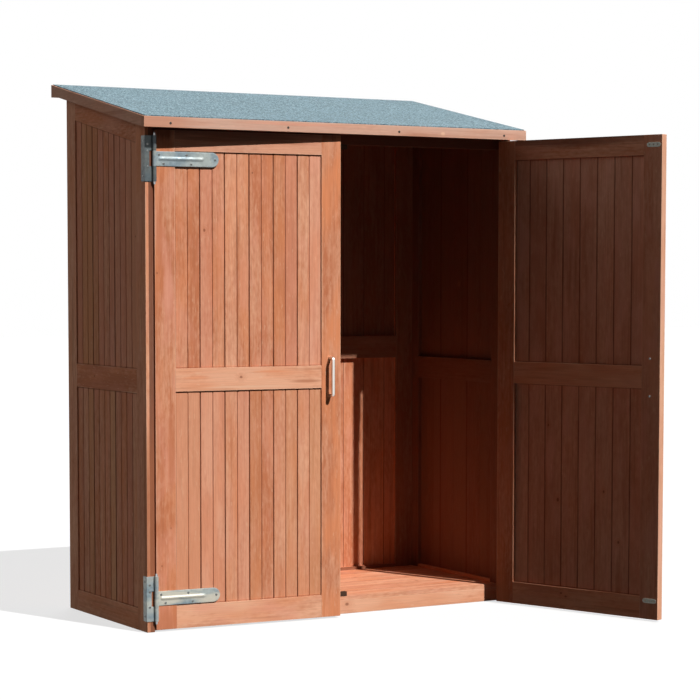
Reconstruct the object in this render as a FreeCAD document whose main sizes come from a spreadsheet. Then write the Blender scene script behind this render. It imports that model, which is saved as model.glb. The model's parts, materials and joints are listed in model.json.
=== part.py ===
import FreeCAD, Part
import math
import os
import Sketcher

# Garden storage cabinet: a boarded timber carcass on a raised floor, a felted roof that falls to
# the front, and two full-height doors on ribbed strap hinges.
#
# Millimetres. The origin is the middle of the footprint on the ground, +Z is up, the doors face
# -Y and +X is to the right as one looks at them. Each door is drawn shut in a frame of its own,
# with its hinge pin at the origin, and is then swung to its rest angle.

SIZES = {
    # Carcass, over the side panels
    "width": 1442,
    "depth": 641,
    "panel_thickness": 28,
    "stile_width": 73,
    "bottom_rail_width": 73,
    "side_mid_rail_bottom": 791,
    "side_mid_rail_width": 81,
    "side_top_rail_width": 91,
    "back_mid_rail_bottom": 867,
    "back_mid_rail_width": 83,
    "back_top_rail_width": 90,
    # Boards of the sides and the back, and the grooves that hold them
    "board_recess": 4.5,
    "board_thickness": 9,
    "groove_depth": 8,
    "groove_play": 1,
    "board_gap": 0.6,
    "vee_width": 5,
    "vee_depth": 2.5,
    "side_boards": 5,
    "back_boards": 6,
    # Floor and header
    "rail_thickness": 28,
    "floor_rail_height": 47,
    "floor_board_thickness": 15,
    "floor_boards": 6,
    "bearer_width": 45,
    "bearers": 5,
    "header_lap": 26,
    # Roof
    "roof_slope": 0.2,
    "front_overhang": 58,
    "side_overhang": 30,
    "rear_overhang": 20,
    "fascia_thickness": 20,
    "fascia_height": 37,
    "barge_thickness": 20,
    "barge_height": 36,
    "rear_fascia_depth": 45,
    "rear_fascia_height": 44,
    "deck_drop": 3,
    "deck_thickness": 12,
    "deck_boards": 15,
    "felt_thickness": 3,
    "felt_inset": 5,
    "fascia_screws": 4,
    "fascia_screw_inset": 95,
    "fascia_screw_drop": 23,
    # Doors
    "door_lift": 6,
    "door_height": 1651.5,
    "door_thickness": 28,
    "door_head_gap": 4.5,
    "door_stop_gap": 3,
    "hinge_gap": 5,
    "centre_gap": 4,
    "door_stile_width": 73,
    "door_top_rail_width": 68,
    "door_rail_width": 77,
    "door_mid_rail_centre": 835.5,
    "cladding_thickness": 7,
    "cladding_boards": 6,
    "lining_thickness": 6,
    "lining_boards": 8,
    "lining_gap": 0.5,
    "lining_trim_hinge": 12.5,
    "lining_trim_free": 19.5,
    "left_open_angle": 3,
    "right_open_angle": 109,
    # Hinges
    "hinge_bottom_inset": 105.5,
    "hinge_top_inset": 94.5,
    "hinge_height": 150,
    "hinge_plate": 2.5,
    "knuckle_radius": 7,
    "strap_knuckle_height": 50,
    "knuckle_gap": 0.5,
    "pin_radius": 4,
    "pin_clearance": 0.06,
    "pin_length": 170,
    "leaf_side_leg": 25,
    "leaf_window_inset": 15,
    "strap_width": 48,
    "strap_length": 229.5,
    "rib_start": 20,
    "rib_end": 170,
    "rib_width": 13,
    "rib_height": 3,
    "screw_head_radius": 4.2,
    "screw_head_height": 1.8,
    "screw_head_taper": 40,
    # Handles
    "handle_centres": 128,
    "handle_bar": 10,
    "handle_projection": 30,
    "handle_inset": 41,
    "handle_bend": 5,
    # Magnetic catches and their strike plates
    "catch_length": 54,
    "catch_depth": 15,
    "catch_height": 16,
    "catch_gap": 0.5,
    "strike_length": 54,
    "strike_width": 16,
    "strike_thickness": 1.5,
    "strike_inset": 33.5,
    "strike_hole_radius": 2.2,
    "strike_hole_spacing": 17,
}

# Screws of one strap: how far from the door's hinge edge, and how far above the strap's middle
STRAP_SCREWS = ((16, 13), (32, -16), (114, 13), (130, -16), (216, 0))
# Flats round a screw head or a screw hole
FLATS = 12
# Screws of one post leaf: in from the carcass's outer face or back from its front, and up
LEAF_FRONT_SCREWS = ((8, 47), (8, 24), (8, -27))
LEAF_SIDE_SCREWS = ((12, 58), (12, -58))

for group, spots in (("strap_screw", STRAP_SCREWS), ("leaf_front_screw", LEAF_FRONT_SCREWS),
                     ("leaf_side_screw", LEAF_SIDE_SCREWS)):
    for place, (along, up) in enumerate(spots, 1):
        SIZES[f"{group}_{place}_along"] = along
        SIZES[f"{group}_{place}_up"] = up


class Size:
    """A length as a formula of the sheet's sizes, with its present value."""

    def __init__(self, formula, value):
        self.formula = formula
        self.value = float(value)

    @staticmethod
    def of(item):
        return item if isinstance(item, Size) else Size(repr(float(item)), item)

    def __add__(self, other):
        other = Size.of(other)
        return Size(f"({self.formula} + {other.formula})", self.value + other.value)

    def __sub__(self, other):
        other = Size.of(other)
        return Size(f"({self.formula} - {other.formula})", self.value - other.value)

    def __mul__(self, other):
        other = Size.of(other)
        return Size(f"({self.formula} * {other.formula})", self.value * other.value)

    def __truediv__(self, other):
        other = Size.of(other)
        return Size(f"({self.formula} / {other.formula})", self.value / other.value)

    def __rmul__(self, other):
        return Size.of(other) * self

    def __radd__(self, other):
        return Size.of(other) + self

    def __rsub__(self, other):
        return Size.of(other) - self

    def __neg__(self):
        return -1 * self


document = FreeCAD.newDocument("GardenCabinet")
sheet = document.addObject("Spreadsheet::Sheet", "Sizes")
for row, (alias, number) in enumerate(SIZES.items(), 1):
    sheet.set(f"A{row}", alias)
    sheet.set(f"B{row}", str(number))
    sheet.setAlias(f"B{row}", alias)
document.recompute()

size = {alias: Size(f"Sizes.{alias}", number) for alias, number in SIZES.items()}
parts = []


# Places that several pieces share

half_width = size["width"] / 2
front = -size["depth"] / 2
back = size["depth"] / 2
inner_half = half_width - size["panel_thickness"]
back_face = back - size["panel_thickness"]
rail_front = front + size["door_thickness"] + size["door_stop_gap"]
rail_back = rail_front + size["rail_thickness"]
floor_top = size["floor_rail_height"] + size["floor_board_thickness"]
door_top = size["door_lift"] + size["door_height"]
roof_front = front - size["front_overhang"]
roof_half = half_width + size["side_overhang"]
deck_front = roof_front + size["fascia_thickness"]
deck_back = back + size["rear_overhang"]
deck_half = roof_half - size["barge_thickness"]
roof_back = deck_back + size["rear_fascia_depth"]
fascia_bottom = door_top + size["door_head_gap"]
fascia_top = fascia_bottom + size["fascia_height"]
header_bottom = door_top - size["header_lap"]
hinge_low = size["door_lift"] + size["hinge_bottom_inset"]
hinge_high = door_top - size["hinge_top_inset"]

door_width = inner_half - size["hinge_gap"] - size["centre_gap"] / 2
pin_offset = inner_half - size["hinge_gap"] / 2
pin_front = front - size["knuckle_radius"]
door_hinge_edge = size["hinge_gap"] / 2
door_free_edge = door_hinge_edge + door_width
door_face = size["knuckle_radius"]
door_inside = door_face + size["door_thickness"]
catch_front = front + size["door_thickness"] + size["strike_thickness"] + size["catch_gap"]
catch_low = floor_top + size["catch_height"] / 2
catch_high = header_bottom - size["catch_height"] / 2


def roof_line(y):
    """Height of the roof's top line at y."""
    return fascia_top + size["roof_slope"] * (y - roof_front)


def deck_top(y):
    """Height at y of the deck and the border round it, on which the felt lies."""
    return roof_line(y) - size["deck_drop"]


def deck_under(y):
    """Height of the roof deck's underside at y."""
    return deck_top(y) - size["deck_thickness"]


# Drawing tools

def ordered(low, high):
    return (low, high) if low.value <= high.value else (high, low)


def box(low_u, high_u, low_v, high_v):
    """The four corners of a rectangle."""
    return [(low_u, low_v), (high_u, low_v), (high_u, high_v), (low_u, high_v)]


class Disc:
    """A circle in a sketch."""

    def __init__(self, u, v, radius):
        self.u = Size.of(u)
        self.v = Size.of(v)
        self.radius = radius


def small_round(u, v, radius):
    """A small circle drawn with a few flats."""
    corners = []
    for turn in range(FLATS):
        angle = math.tau * (turn + 0.5) / FLATS
        corners.append((u + radius * math.cos(angle), v + radius * math.sin(angle)))
    return corners


def origin_feature(body, role):
    return next(item for item in body.Origin.OriginFeatures if item.Role == role)


def new_body(label):
    body = document.addObject("PartDesign::Body", label)
    body.Label = label
    parts.append(body)
    return body


def bind(sketch, constraint, length):
    """Add a dimension to a sketch and tie it to the sheet."""
    index = sketch.addConstraint(constraint)
    sketch.setExpression(f"Constraints[{index}]", length.formula)


def draw_polygon(sketch, corners):
    corners = [(Size.of(u), Size.of(v)) for u, v in corners]
    first = sketch.GeometryCount
    count = len(corners)
    for place in range(count):
        u, v = corners[place]
        next_u, next_v = corners[(place + 1) % count]
        start = FreeCAD.Vector(u.value, v.value, 0)
        end = FreeCAD.Vector(next_u.value, next_v.value, 0)
        sketch.addGeometry(Part.LineSegment(start, end))
    for place in range(count):
        line = first + place
        following = first + (place + 1) % count
        sketch.addConstraint(Sketcher.Constraint("Coincident", line, 2, following, 1))
        u, v = corners[place]
        bind(sketch, Sketcher.Constraint("DistanceX", -1, 1, line, 1, u.value), u)
        bind(sketch, Sketcher.Constraint("DistanceY", -1, 1, line, 1, v.value), v)


def draw_disc(sketch, disc):
    centre = FreeCAD.Vector(disc.u.value, disc.v.value, 0)
    normal = FreeCAD.Vector(0, 0, 1)
    index = sketch.addGeometry(Part.Circle(centre, normal, disc.radius.value))
    bind(sketch, Sketcher.Constraint("DistanceX", -1, 1, index, 3, disc.u.value), disc.u)
    bind(sketch, Sketcher.Constraint("DistanceY", -1, 1, index, 3, disc.v.value), disc.v)
    bind(sketch, Sketcher.Constraint("Radius", index, disc.radius.value), disc.radius)


def draw(body, plane, place, outlines):
    """A sketch parallel to one of the body's own planes, at a place along that plane's axis."""
    sketch = body.newObject("Sketcher::SketchObject", body.Label + "_sketch")
    sketch.AttachmentSupport = [(origin_feature(body, plane + "_Plane"), "")]
    sketch.MapMode = "FlatFace"
    # The XZ plane looks along -Y, so its offset counts backwards
    offset = -place if plane == "XZ" else place
    sketch.AttachmentOffset.Base.z = offset.value
    sketch.setExpression("AttachmentOffset.Base.z", offset.formula)
    for outline in outlines:
        if isinstance(outline, Disc):
            draw_disc(sketch, outline)
        else:
            draw_polygon(sketch, outline)
    return sketch


def extrude(body, kind, plane, low, high, outlines):
    low, high = ordered(Size.of(low), Size.of(high))
    start = high if plane == "XZ" else low
    sketch = draw(body, plane, start, outlines)
    feature = body.newObject("PartDesign::" + kind, body.Label + "_" + kind.lower())
    feature.Profile = sketch
    feature.setExpression("Length", (high - low).formula)
    feature.Reversed = kind == "Pocket"
    document.recompute()
    return feature


def pad(body, plane, low, high, outlines):
    """Material between two places along the plane's axis."""
    return extrude(body, "Pad", plane, low, high, outlines)


def pocket(body, plane, low, high, outlines):
    """A cut between two places along the plane's axis, which has to take something away."""
    before = body.Shape.Volume
    feature = extrude(body, "Pocket", plane, low, high, outlines)
    if body.Shape.Volume > before - 1e-3:
        raise RuntimeError(f"{feature.Label} cuts nothing")
    return feature


def repeat(body, axis, reach, count, features=None, backwards=False):
    """Copies of the whole body, or of some of its features, along an axis."""
    pattern = body.newObject("PartDesign::LinearPattern", body.Label + "_pattern")
    if features is None:
        pattern.TransformMode = "Whole shape"
    else:
        pattern.Originals = features
    pattern.Direction = (origin_feature(body, axis + "_Axis"), [""])
    pattern.Reversed = backwards
    pattern.setExpression("Length", reach.formula)
    pattern.setExpression("Occurrences", Size.of(count).formula)
    body.Tip = pattern
    document.recompute()
    return pattern


def place_feature(feature, x, y, z):
    for axis, length in (("x", x), ("y", y), ("z", z)):
        feature.setExpression(f"Placement.Base.{axis}", Size.of(length).formula)


def block(label, low_x, high_x, low_y, high_y, low_z, high_z):
    """A plain rectangular timber."""
    body = new_body(label)
    pad(body, "XY", low_z, high_z, [box(low_x, high_x, low_y, high_y)])
    return body


# Frames with boards in their grooves

class Panel:
    """A frame-and-board panel: its plane, its outer face and which way its thickness runs."""

    def __init__(self, plane, outer, inward, thickness, board, skins, way=1):
        self.plane = plane
        self.outer = outer
        self.inward = inward
        self.thickness = thickness
        self.face = size["board_recess"]
        self.board = board
        self.groove = (self.face, self.face + skins)
        self.way = way

    def span(self, near, far):
        """Two depths below the outer face, as places along the panel's own axis."""
        return ordered(self.outer + self.inward * Size.of(near), self.outer + self.inward * Size.of(far))

    def on_plan(self, along, deep):
        """A point of the panel's cross section, seen from above."""
        across = self.outer + self.inward * deep
        along = self.way * along
        return (across, along) if self.plane == "YZ" else (along, across)


def member(label, panel, outline, grooves, tongue=None):
    """A stile or rail, grooved for the boards; a rail also has a tongue for the stiles' grooves."""
    body = new_body(label)
    pad(body, panel.plane, *panel.span(0, panel.thickness), [outline])
    pocket(body, panel.plane, *panel.span(*panel.groove), grooves)
    if tongue:
        pad(body, panel.plane, *panel.span(*panel.groove), [tongue])
    return body


def rail(label, panel, start, end, bottom, top, edges):
    """A level rail between two stiles, with a groove in its lower or upper edge or in both."""
    deep = size["groove_depth"]
    grooves = []
    core_bottom = bottom
    core_top = top
    if "lower" in edges:
        core_bottom = bottom + deep
        grooves.append(box(start, end, bottom, core_bottom))
    if "upper" in edges:
        core_top = top - deep
        grooves.append(box(start, end, core_top, top))
    reach = panel.way * deep
    tongue = box(start - reach, end + reach, core_bottom, core_top)
    return member(label, panel, box(start, end, bottom, top), grooves, tongue)


def vee_board(panel, start, end):
    """Cross section of one board, bevelled at its edges, with a vee down its middle."""
    gap = size["board_gap"] / 2
    half_vee = size["vee_width"] / 2
    face = panel.face
    vee = face + size["vee_depth"]
    rear = face + panel.board
    middle = (start + end) / 2
    outline = [
        (start + gap, vee), (start + gap + half_vee, face),
        (middle - half_vee, face), (middle, vee), (middle + half_vee, face),
        (end - gap - half_vee, face), (end - gap, vee),
        (end - gap, rear), (start + gap, rear),
    ]
    return [panel.on_plan(along, deep) for along, deep in outline]


def ripped_board(panel, start, end):
    """Cross section of the board that is ripped to fill the rest of an opening."""
    gap = size["board_gap"] / 2
    half_vee = size["vee_width"] / 2
    hidden = size["groove_depth"] - size["groove_play"]
    face = panel.face
    rear = face + panel.board
    outline = [(start + gap, face + size["vee_depth"]), (start + gap + half_vee, face),
               (end + hidden, face), (end + hidden, rear), (start + gap, rear)]
    return [panel.on_plan(along, deep) for along, deep in outline]


def edge_strip(panel, edge, toward):
    """Cross section of the part of an end board that lies in the stile's groove."""
    hidden = size["groove_depth"] - size["groove_play"]
    cover = size["vee_width"] * 2
    corners = box(edge - toward * hidden, edge + toward * cover, panel.face, panel.face + panel.board)
    return [panel.on_plan(along, deep) for along, deep in corners]


def boards(label, panel, start, end, bottom, top, count, ripped):
    """A run of upright vee-jointed boards between two stiles."""
    body = new_body(label)
    pitch = (end - start) / (count + (0.5 if ripped else 0))
    first = pad(body, "XY", bottom, top, [vee_board(panel, start, start + pitch)])
    axis = "Y" if panel.plane == "YZ" else "X"
    repeat(body, axis, pitch * (count - 1), count, [first], panel.way < 0)
    strips = [edge_strip(panel, start, 1)]
    if ripped:
        pad(body, "XY", bottom, top, [ripped_board(panel, start + pitch * count, end)])
    else:
        strips.append(edge_strip(panel, end, -1))
    pad(body, "XY", bottom, top, strips)
    return body


# Floor

def floor():
    block("floor_front_rail", -inner_half, inner_half, rail_front, rail_back,
          0, size["floor_rail_height"])
    rear = back_face - size["rail_thickness"]
    block("floor_rear_rail", -inner_half, inner_half, rear, back_face, 0, size["floor_rail_height"])

    bearers = block("floor_cross_bearers", -inner_half, -inner_half + size["bearer_width"],
                    rail_back, rear, 0, size["floor_rail_height"])
    repeat(bearers, "X", 2 * inner_half - size["bearer_width"], size["bearers"])

    pitch = (back_face - rail_front) / size["floor_boards"]
    planks = block("floor_boards", -inner_half, inner_half, rail_front,
                   rail_front + pitch - size["board_gap"], size["floor_rail_height"], floor_top)
    repeat(planks, "Y", pitch * (size["floor_boards"] - 1), size["floor_boards"])


# Side and back frames

def side_frame(side, sign):
    panel = Panel("YZ", sign * half_width, -sign, size["panel_thickness"],
                  size["board_thickness"], size["board_thickness"])
    deep = size["groove_depth"]
    start = front + size["stile_width"]
    end = back - size["stile_width"]

    for name, low, high, groove_low in (("front", front, start, start - deep), ("rear", end, back, end)):
        outline = [(low, 0), (high, 0), (high, deck_under(high)), (low, deck_under(low))]
        groove = box(groove_low, groove_low + deep, 0, deck_under(high))
        member(f"{side}_side_{name}_stile", panel, outline, [groove])

    def under_rail(y):
        return deck_under(y) - size["side_top_rail_width"]

    outline = [(start, under_rail(start)), (end, under_rail(end)),
               (end, deck_under(end)), (start, deck_under(start))]
    groove = [(start, under_rail(start)), (end, under_rail(end)),
              (end, under_rail(end) + deep), (start, under_rail(start) + deep)]
    low = start - deep
    high = end + deep
    tongue = [(low, under_rail(low) + deep), (high, under_rail(high) + deep),
              (high, deck_under(high)), (low, deck_under(low))]
    member(f"{side}_side_top_rail", panel, outline, [groove], tongue)

    mid_bottom = size["side_mid_rail_bottom"]
    mid_top = mid_bottom + size["side_mid_rail_width"]
    rail(f"{side}_side_mid_rail", panel, start, end, mid_bottom, mid_top, ("lower", "upper"))
    rail(f"{side}_side_bottom_rail", panel, start, end, Size.of(0), size["bottom_rail_width"], ("upper",))

    hidden = deep - size["groove_play"]
    bottom = size["bottom_rail_width"] - hidden
    body = boards(f"{side}_side_boards", panel, start, end, bottom, deck_under(end),
                  size["side_boards"], True)
    across = panel.span(0, panel.thickness)
    pocket(body, "YZ", *across, [[(front, under_rail(front) + hidden), (back, under_rail(back) + hidden),
                                  (back, roof_line(back)), (front, roof_line(back))]])
    pocket(body, "YZ", *across, [box(front, back, mid_bottom + hidden, mid_top - hidden)])


def trim_to_roof(body):
    """Cut the tops of the back frame to the fall of the deck."""
    over = size["panel_thickness"]
    low = back_face - over
    high = back + over
    pocket(body, "YZ", -half_width, half_width,
           [[(low, deck_under(low)), (high, deck_under(high)),
             (high, roof_line(high)), (low, roof_line(high))]])


def back_frame():
    panel = Panel("XZ", back, -1, size["panel_thickness"],
                  size["board_thickness"], size["board_thickness"])
    deep = size["groove_depth"]
    hidden = deep - size["groove_play"]
    wide = size["stile_width"]
    top = deck_under(back)
    middle = wide / 2
    outer = inner_half - wide

    stiles = (("left", -inner_half, -outer, [-outer - deep]),
              ("centre", -middle, middle, [-middle, middle - deep]),
              ("right", outer, inner_half, [outer]))
    for name, low, high, cuts in stiles:
        grooves = [box(cut, cut + deep, 0, top) for cut in cuts]
        trim_to_roof(member(f"back_{name}_stile", panel, box(low, high, Size.of(0), top), grooves))

    mid_bottom = size["back_mid_rail_bottom"]
    mid_top = mid_bottom + size["back_mid_rail_width"]
    top_bottom = top - size["back_top_rail_width"]
    levels = (("top", top_bottom, top, ("lower",)),
              ("mid", mid_bottom, mid_top, ("lower", "upper")),
              ("bottom", Size.of(0), size["bottom_rail_width"], ("upper",)))
    for name, low, high, edges in levels:
        body = rail(f"back_{name}_rail", panel, -outer, -middle, low, high, edges)
        repeat(body, "X", outer + middle, 2)
        if name == "top":
            trim_to_roof(body)

    bottom = size["bottom_rail_width"] - hidden
    body = boards("back_boards", panel, -outer, -middle, bottom, top_bottom + hidden,
                  size["back_boards"], True)
    repeat(body, "X", outer + middle, 2)
    pocket(body, "XZ", *panel.span(0, panel.thickness),
           [box(-inner_half, inner_half, mid_bottom + hidden, mid_top - hidden)])


# Roof

def roof():
    low = rail_front
    high = rail_front + size["rail_thickness"]
    body = new_body("front_header")
    pad(body, "YZ", -inner_half, inner_half,
        [[(low, header_bottom), (high, header_bottom),
          (high, deck_under(high)), (low, deck_under(low))]])

    def layer(label, reach, start, end, under, thickness):
        """A sloping sheet from start to end, over a height that runs with y."""
        sheet_body = new_body(label)
        pad(sheet_body, "YZ", -reach, reach,
            [[(start, under(start)), (end, under(end)),
              (end, under(end) + thickness), (start, under(start) + thickness)]])
        return sheet_body

    deck = layer("roof_deck", deck_half, deck_front, deck_back, deck_under, size["deck_thickness"])
    pitch = 2 * deck_half / size["deck_boards"]
    gap = size["board_gap"] / 2
    joint = pitch - deck_half
    cut = pocket(deck, "XY", fascia_bottom, roof_line(deck_back),
                 [box(joint - gap, joint + gap, roof_front, deck_back + size["rear_overhang"])])
    repeat(deck, "X", pitch * (size["deck_boards"] - 2), size["deck_boards"] - 1, [cut])

    inset = size["felt_inset"]
    layer("roof_felt", roof_half - inset, roof_front + inset, roof_back - inset,
          deck_top, size["felt_thickness"])

    body = new_body("front_fascia")
    pad(body, "YZ", -roof_half, roof_half,
        [[(roof_front, fascia_bottom), (deck_front, fascia_bottom),
          (deck_front, deck_top(deck_front)), (roof_front, deck_top(roof_front))]])

    rear_bottom = deck_top(roof_back) - size["rear_fascia_height"]
    body = new_body("rear_fascia")
    pad(body, "YZ", -roof_half, roof_half,
        [[(deck_back, rear_bottom), (roof_back, rear_bottom),
          (roof_back, deck_top(roof_back)), (deck_back, deck_top(deck_back))]])

    for side, sign in (("left", -1), ("right", 1)):
        body = new_body(f"{side}_barge_board")
        tall = size["barge_height"]
        pad(body, "YZ", sign * deck_half, sign * roof_half,
            [[(deck_front, deck_top(deck_front) - tall), (deck_back, deck_top(deck_back) - tall),
              (deck_back, deck_top(deck_back)), (deck_front, deck_top(deck_front))]])

    body = new_body("fascia_screws")
    reach = 2 * (roof_half - size["fascia_screw_inset"])
    spot = small_round(-roof_half + size["fascia_screw_inset"], fascia_top - size["fascia_screw_drop"],
                       size["screw_head_radius"])
    heads(body, roof_front, [spot])
    repeat(body, "X", reach, size["fascia_screws"])


# Hinges, handles and catches

def heads(body, face, spots, plane="XZ", inward=False):
    """Low tapered screw heads that stand on a face."""
    sketch = draw(body, plane, face, spots)
    feature = body.newObject("PartDesign::Pad", body.Label + "_heads")
    feature.Profile = sketch
    feature.setExpression("Length", size["screw_head_height"].formula)
    feature.setExpression("TaperAngle", (-size["screw_head_taper"]).formula)
    feature.Reversed = inward
    document.recompute()
    return feature


def spots_of(group, count):
    """The places of a group of screws: along the plate, and up from the hinge's middle."""
    return [(size[f"{group}_{place}_along"], size[f"{group}_{place}_up"])
            for place in range(1, count + 1)]


def post_hinges(side, sign):
    """Leaves that wrap round the carcass's front corner, with the outer knuckles, and the pins."""
    outer = sign * half_width
    axis = sign * pin_offset
    plate = size["hinge_plate"]
    low = hinge_low - size["hinge_height"] / 2
    high = hinge_low + size["hinge_height"] / 2
    window = size["strap_knuckle_height"] / 2 + size["knuckle_gap"]
    spacing = hinge_high - hinge_low

    body = new_body(f"{side}_post_hinge_leaves")
    proud = outer + sign * plate
    wrap = [(axis, front - plate), (proud, front - plate), (proud, front + size["leaf_side_leg"]),
            (outer, front + size["leaf_side_leg"]), (outer, front), (axis, front)]
    pad(body, "XY", low, high, [wrap])
    inset = outer - sign * size["leaf_window_inset"]
    relief = axis - sign * size["knuckle_radius"]
    pocket(body, "XZ", front - plate, front,
           [box(inset, relief, hinge_low - window, hinge_low + window)])
    ring = Disc(axis, pin_front, size["knuckle_radius"])
    pad(body, "XY", low, hinge_low - window, [ring])
    pad(body, "XY", hinge_low + window, high, [ring])
    bore = Disc(axis, pin_front, size["pin_radius"] + size["pin_clearance"])
    pocket(body, "XY", low, high, [bore])
    repeat(body, "Z", spacing, 2)

    body = new_body(f"{side}_hinge_pins")
    reach = size["pin_length"] / 2
    pad(body, "XY", hinge_low - reach, hinge_low + reach,
        [Disc(axis, pin_front, size["pin_radius"])])
    repeat(body, "Z", spacing, 2)


def post_hinge_screws():
    body = new_body("post_hinge_screws")
    radius = size["screw_head_radius"]
    plate = size["hinge_plate"]
    fronts = [small_round(sign * (half_width - along), hinge_low + up, radius)
              for sign in (-1, 1) for along, up in spots_of("leaf_front_screw", len(LEAF_FRONT_SCREWS))]
    heads(body, front - plate, fronts)
    for sign in (-1, 1):
        sides = [small_round(front + along, hinge_low + up, radius)
                 for along, up in spots_of("leaf_side_screw", len(LEAF_SIDE_SCREWS))]
        heads(body, sign * (half_width + plate), sides, "YZ", sign < 0)
    repeat(body, "Z", hinge_high - hinge_low, 2)


def strap_plates(side, way):
    """Straps with a raised rib and a round tip, and the middle knuckle rolled on their ends."""
    body = new_body(f"{side}_door_hinge_straps")
    level = hinge_low
    wide = size["strap_width"] / 2
    surface = door_face - size["hinge_plate"]
    rib_half = size["rib_width"] / 2
    rise = size["rib_height"]
    curve = (rib_half * rib_half + rise * rise) / (2 * rise)
    centre = surface - rise + curve
    rib_low = way * (door_hinge_edge + size["rib_start"])
    rib_high = way * (door_hinge_edge + size["rib_end"])
    left_end, right_end = ordered(rib_low, rib_high)

    bar = body.newObject("PartDesign::AdditiveCylinder", body.Label + "_rib")
    bar.Placement.Rotation = FreeCAD.Rotation(FreeCAD.Vector(0, 1, 0), 90)
    bar.setExpression("Radius", curve.formula)
    bar.setExpression("Height", (right_end - left_end).formula)
    place_feature(bar, left_end, centre, level)
    for end in (left_end, right_end):
        cap = body.newObject("PartDesign::AdditiveSphere", body.Label + "_rib_end")
        cap.setExpression("Radius", curve.formula)
        place_feature(cap, end, centre, level)
    document.recompute()
    around = curve * 2
    pocket(body, "XZ", door_face, door_face + 2 * around,
           [box(left_end - around, right_end + around, level - around, level + around)])

    tip = way * (door_hinge_edge + size["strap_length"] - wide)
    pad(body, "XZ", surface, door_face, [box(Size.of(0), tip, level - wide, level + wide)])
    pad(body, "XZ", surface, door_face, [Disc(tip, level, wide)])
    half = size["strap_knuckle_height"] / 2
    pad(body, "XY", level - half, level + half, [Disc(0, 0, size["knuckle_radius"])])
    pocket(body, "XY", level - half, level + half,
           [Disc(0, 0, size["pin_radius"] + size["pin_clearance"])])
    repeat(body, "Z", hinge_high - level, 2)
    return body


def bow_handle(side, way):
    body = new_body(f"{side}_door_handle")
    bar = size["handle_bar"]
    across = way * (door_free_edge - size["handle_inset"])
    reach = size["handle_centres"] / 2 + bar / 2
    low = size["door_mid_rail_centre"] - reach
    high = size["door_mid_rail_centre"] + reach
    outer = door_face - size["handle_projection"]
    inner = outer + bar
    bow = [(door_face, low), (outer, low), (outer, high), (door_face, high),
           (door_face, high - bar), (inner, high - bar), (inner, low + bar), (door_face, low + bar)]
    grip = pad(body, "YZ", across - bar / 2, across + bar / 2, [bow])
    edges = []
    for place, edge in enumerate(grip.Shape.Edges, 1):
        middle = edge.CenterOfMass
        at_end = min(abs(middle.z - low.value), abs(middle.z - high.value)) < 1e-6
        if at_end and abs(middle.y - outer.value) < 1e-6:
            edges.append(f"Edge{place}")
    bend = body.newObject("PartDesign::Fillet", body.Label + "_bend")
    bend.Base = (grip, edges)
    bend.setExpression("Radius", size["handle_bend"].formula)
    document.recompute()
    return body


def strike_plates(side, way):
    """Long round-ended plates on the door's inner face, where the magnets hold it."""
    body = new_body(f"{side}_door_strike_plates")
    middle = way * (door_free_edge - size["strike_inset"])
    half = size["strike_length"] / 2
    wide = size["strike_width"] / 2
    reach = half - wide
    surface = door_inside + size["strike_thickness"]
    pad(body, "XZ", door_inside, surface,
        [box(middle - reach, middle + reach, catch_low - wide, catch_low + wide)])
    for end in (middle - reach, middle + reach):
        pad(body, "XZ", door_inside, surface, [Disc(end, catch_low, wide)])
    holes = [small_round(middle + step * size["strike_hole_spacing"], catch_low,
                         size["strike_hole_radius"]) for step in (-1, 0, 1)]
    pocket(body, "XZ", door_inside, surface, holes)
    repeat(body, "Z", catch_high - catch_low, 2)
    return body


def magnet_catches():
    body = new_body("magnet_catches")
    offset = size["centre_gap"] / 2 + size["strike_inset"]
    half = size["catch_length"] / 2
    tall = size["catch_height"] / 2
    rows = [box(sign * offset - half, sign * offset + half, level - tall, level + tall)
            for sign in (-1, 1) for level in (catch_low, catch_high)]
    pad(body, "XZ", catch_front, catch_front + size["catch_depth"], rows)


# Doors

def door_screws(side, way):
    body = new_body(f"{side}_door_screws")
    radius = size["screw_head_radius"]
    across = way * (door_free_edge - size["handle_inset"])
    half = size["handle_centres"] / 2
    for level in (hinge_low, hinge_high):
        strap = [small_round(way * (door_hinge_edge + along), level + up, radius)
                 for along, up in spots_of("strap_screw", len(STRAP_SCREWS))]
        heads(body, door_face - size["hinge_plate"], strap)
    handle = [small_round(across, size["door_mid_rail_centre"] + step * half, radius)
              for step in (-1, 1)]
    heads(body, door_inside, handle, "XZ", True)
    return body


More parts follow.
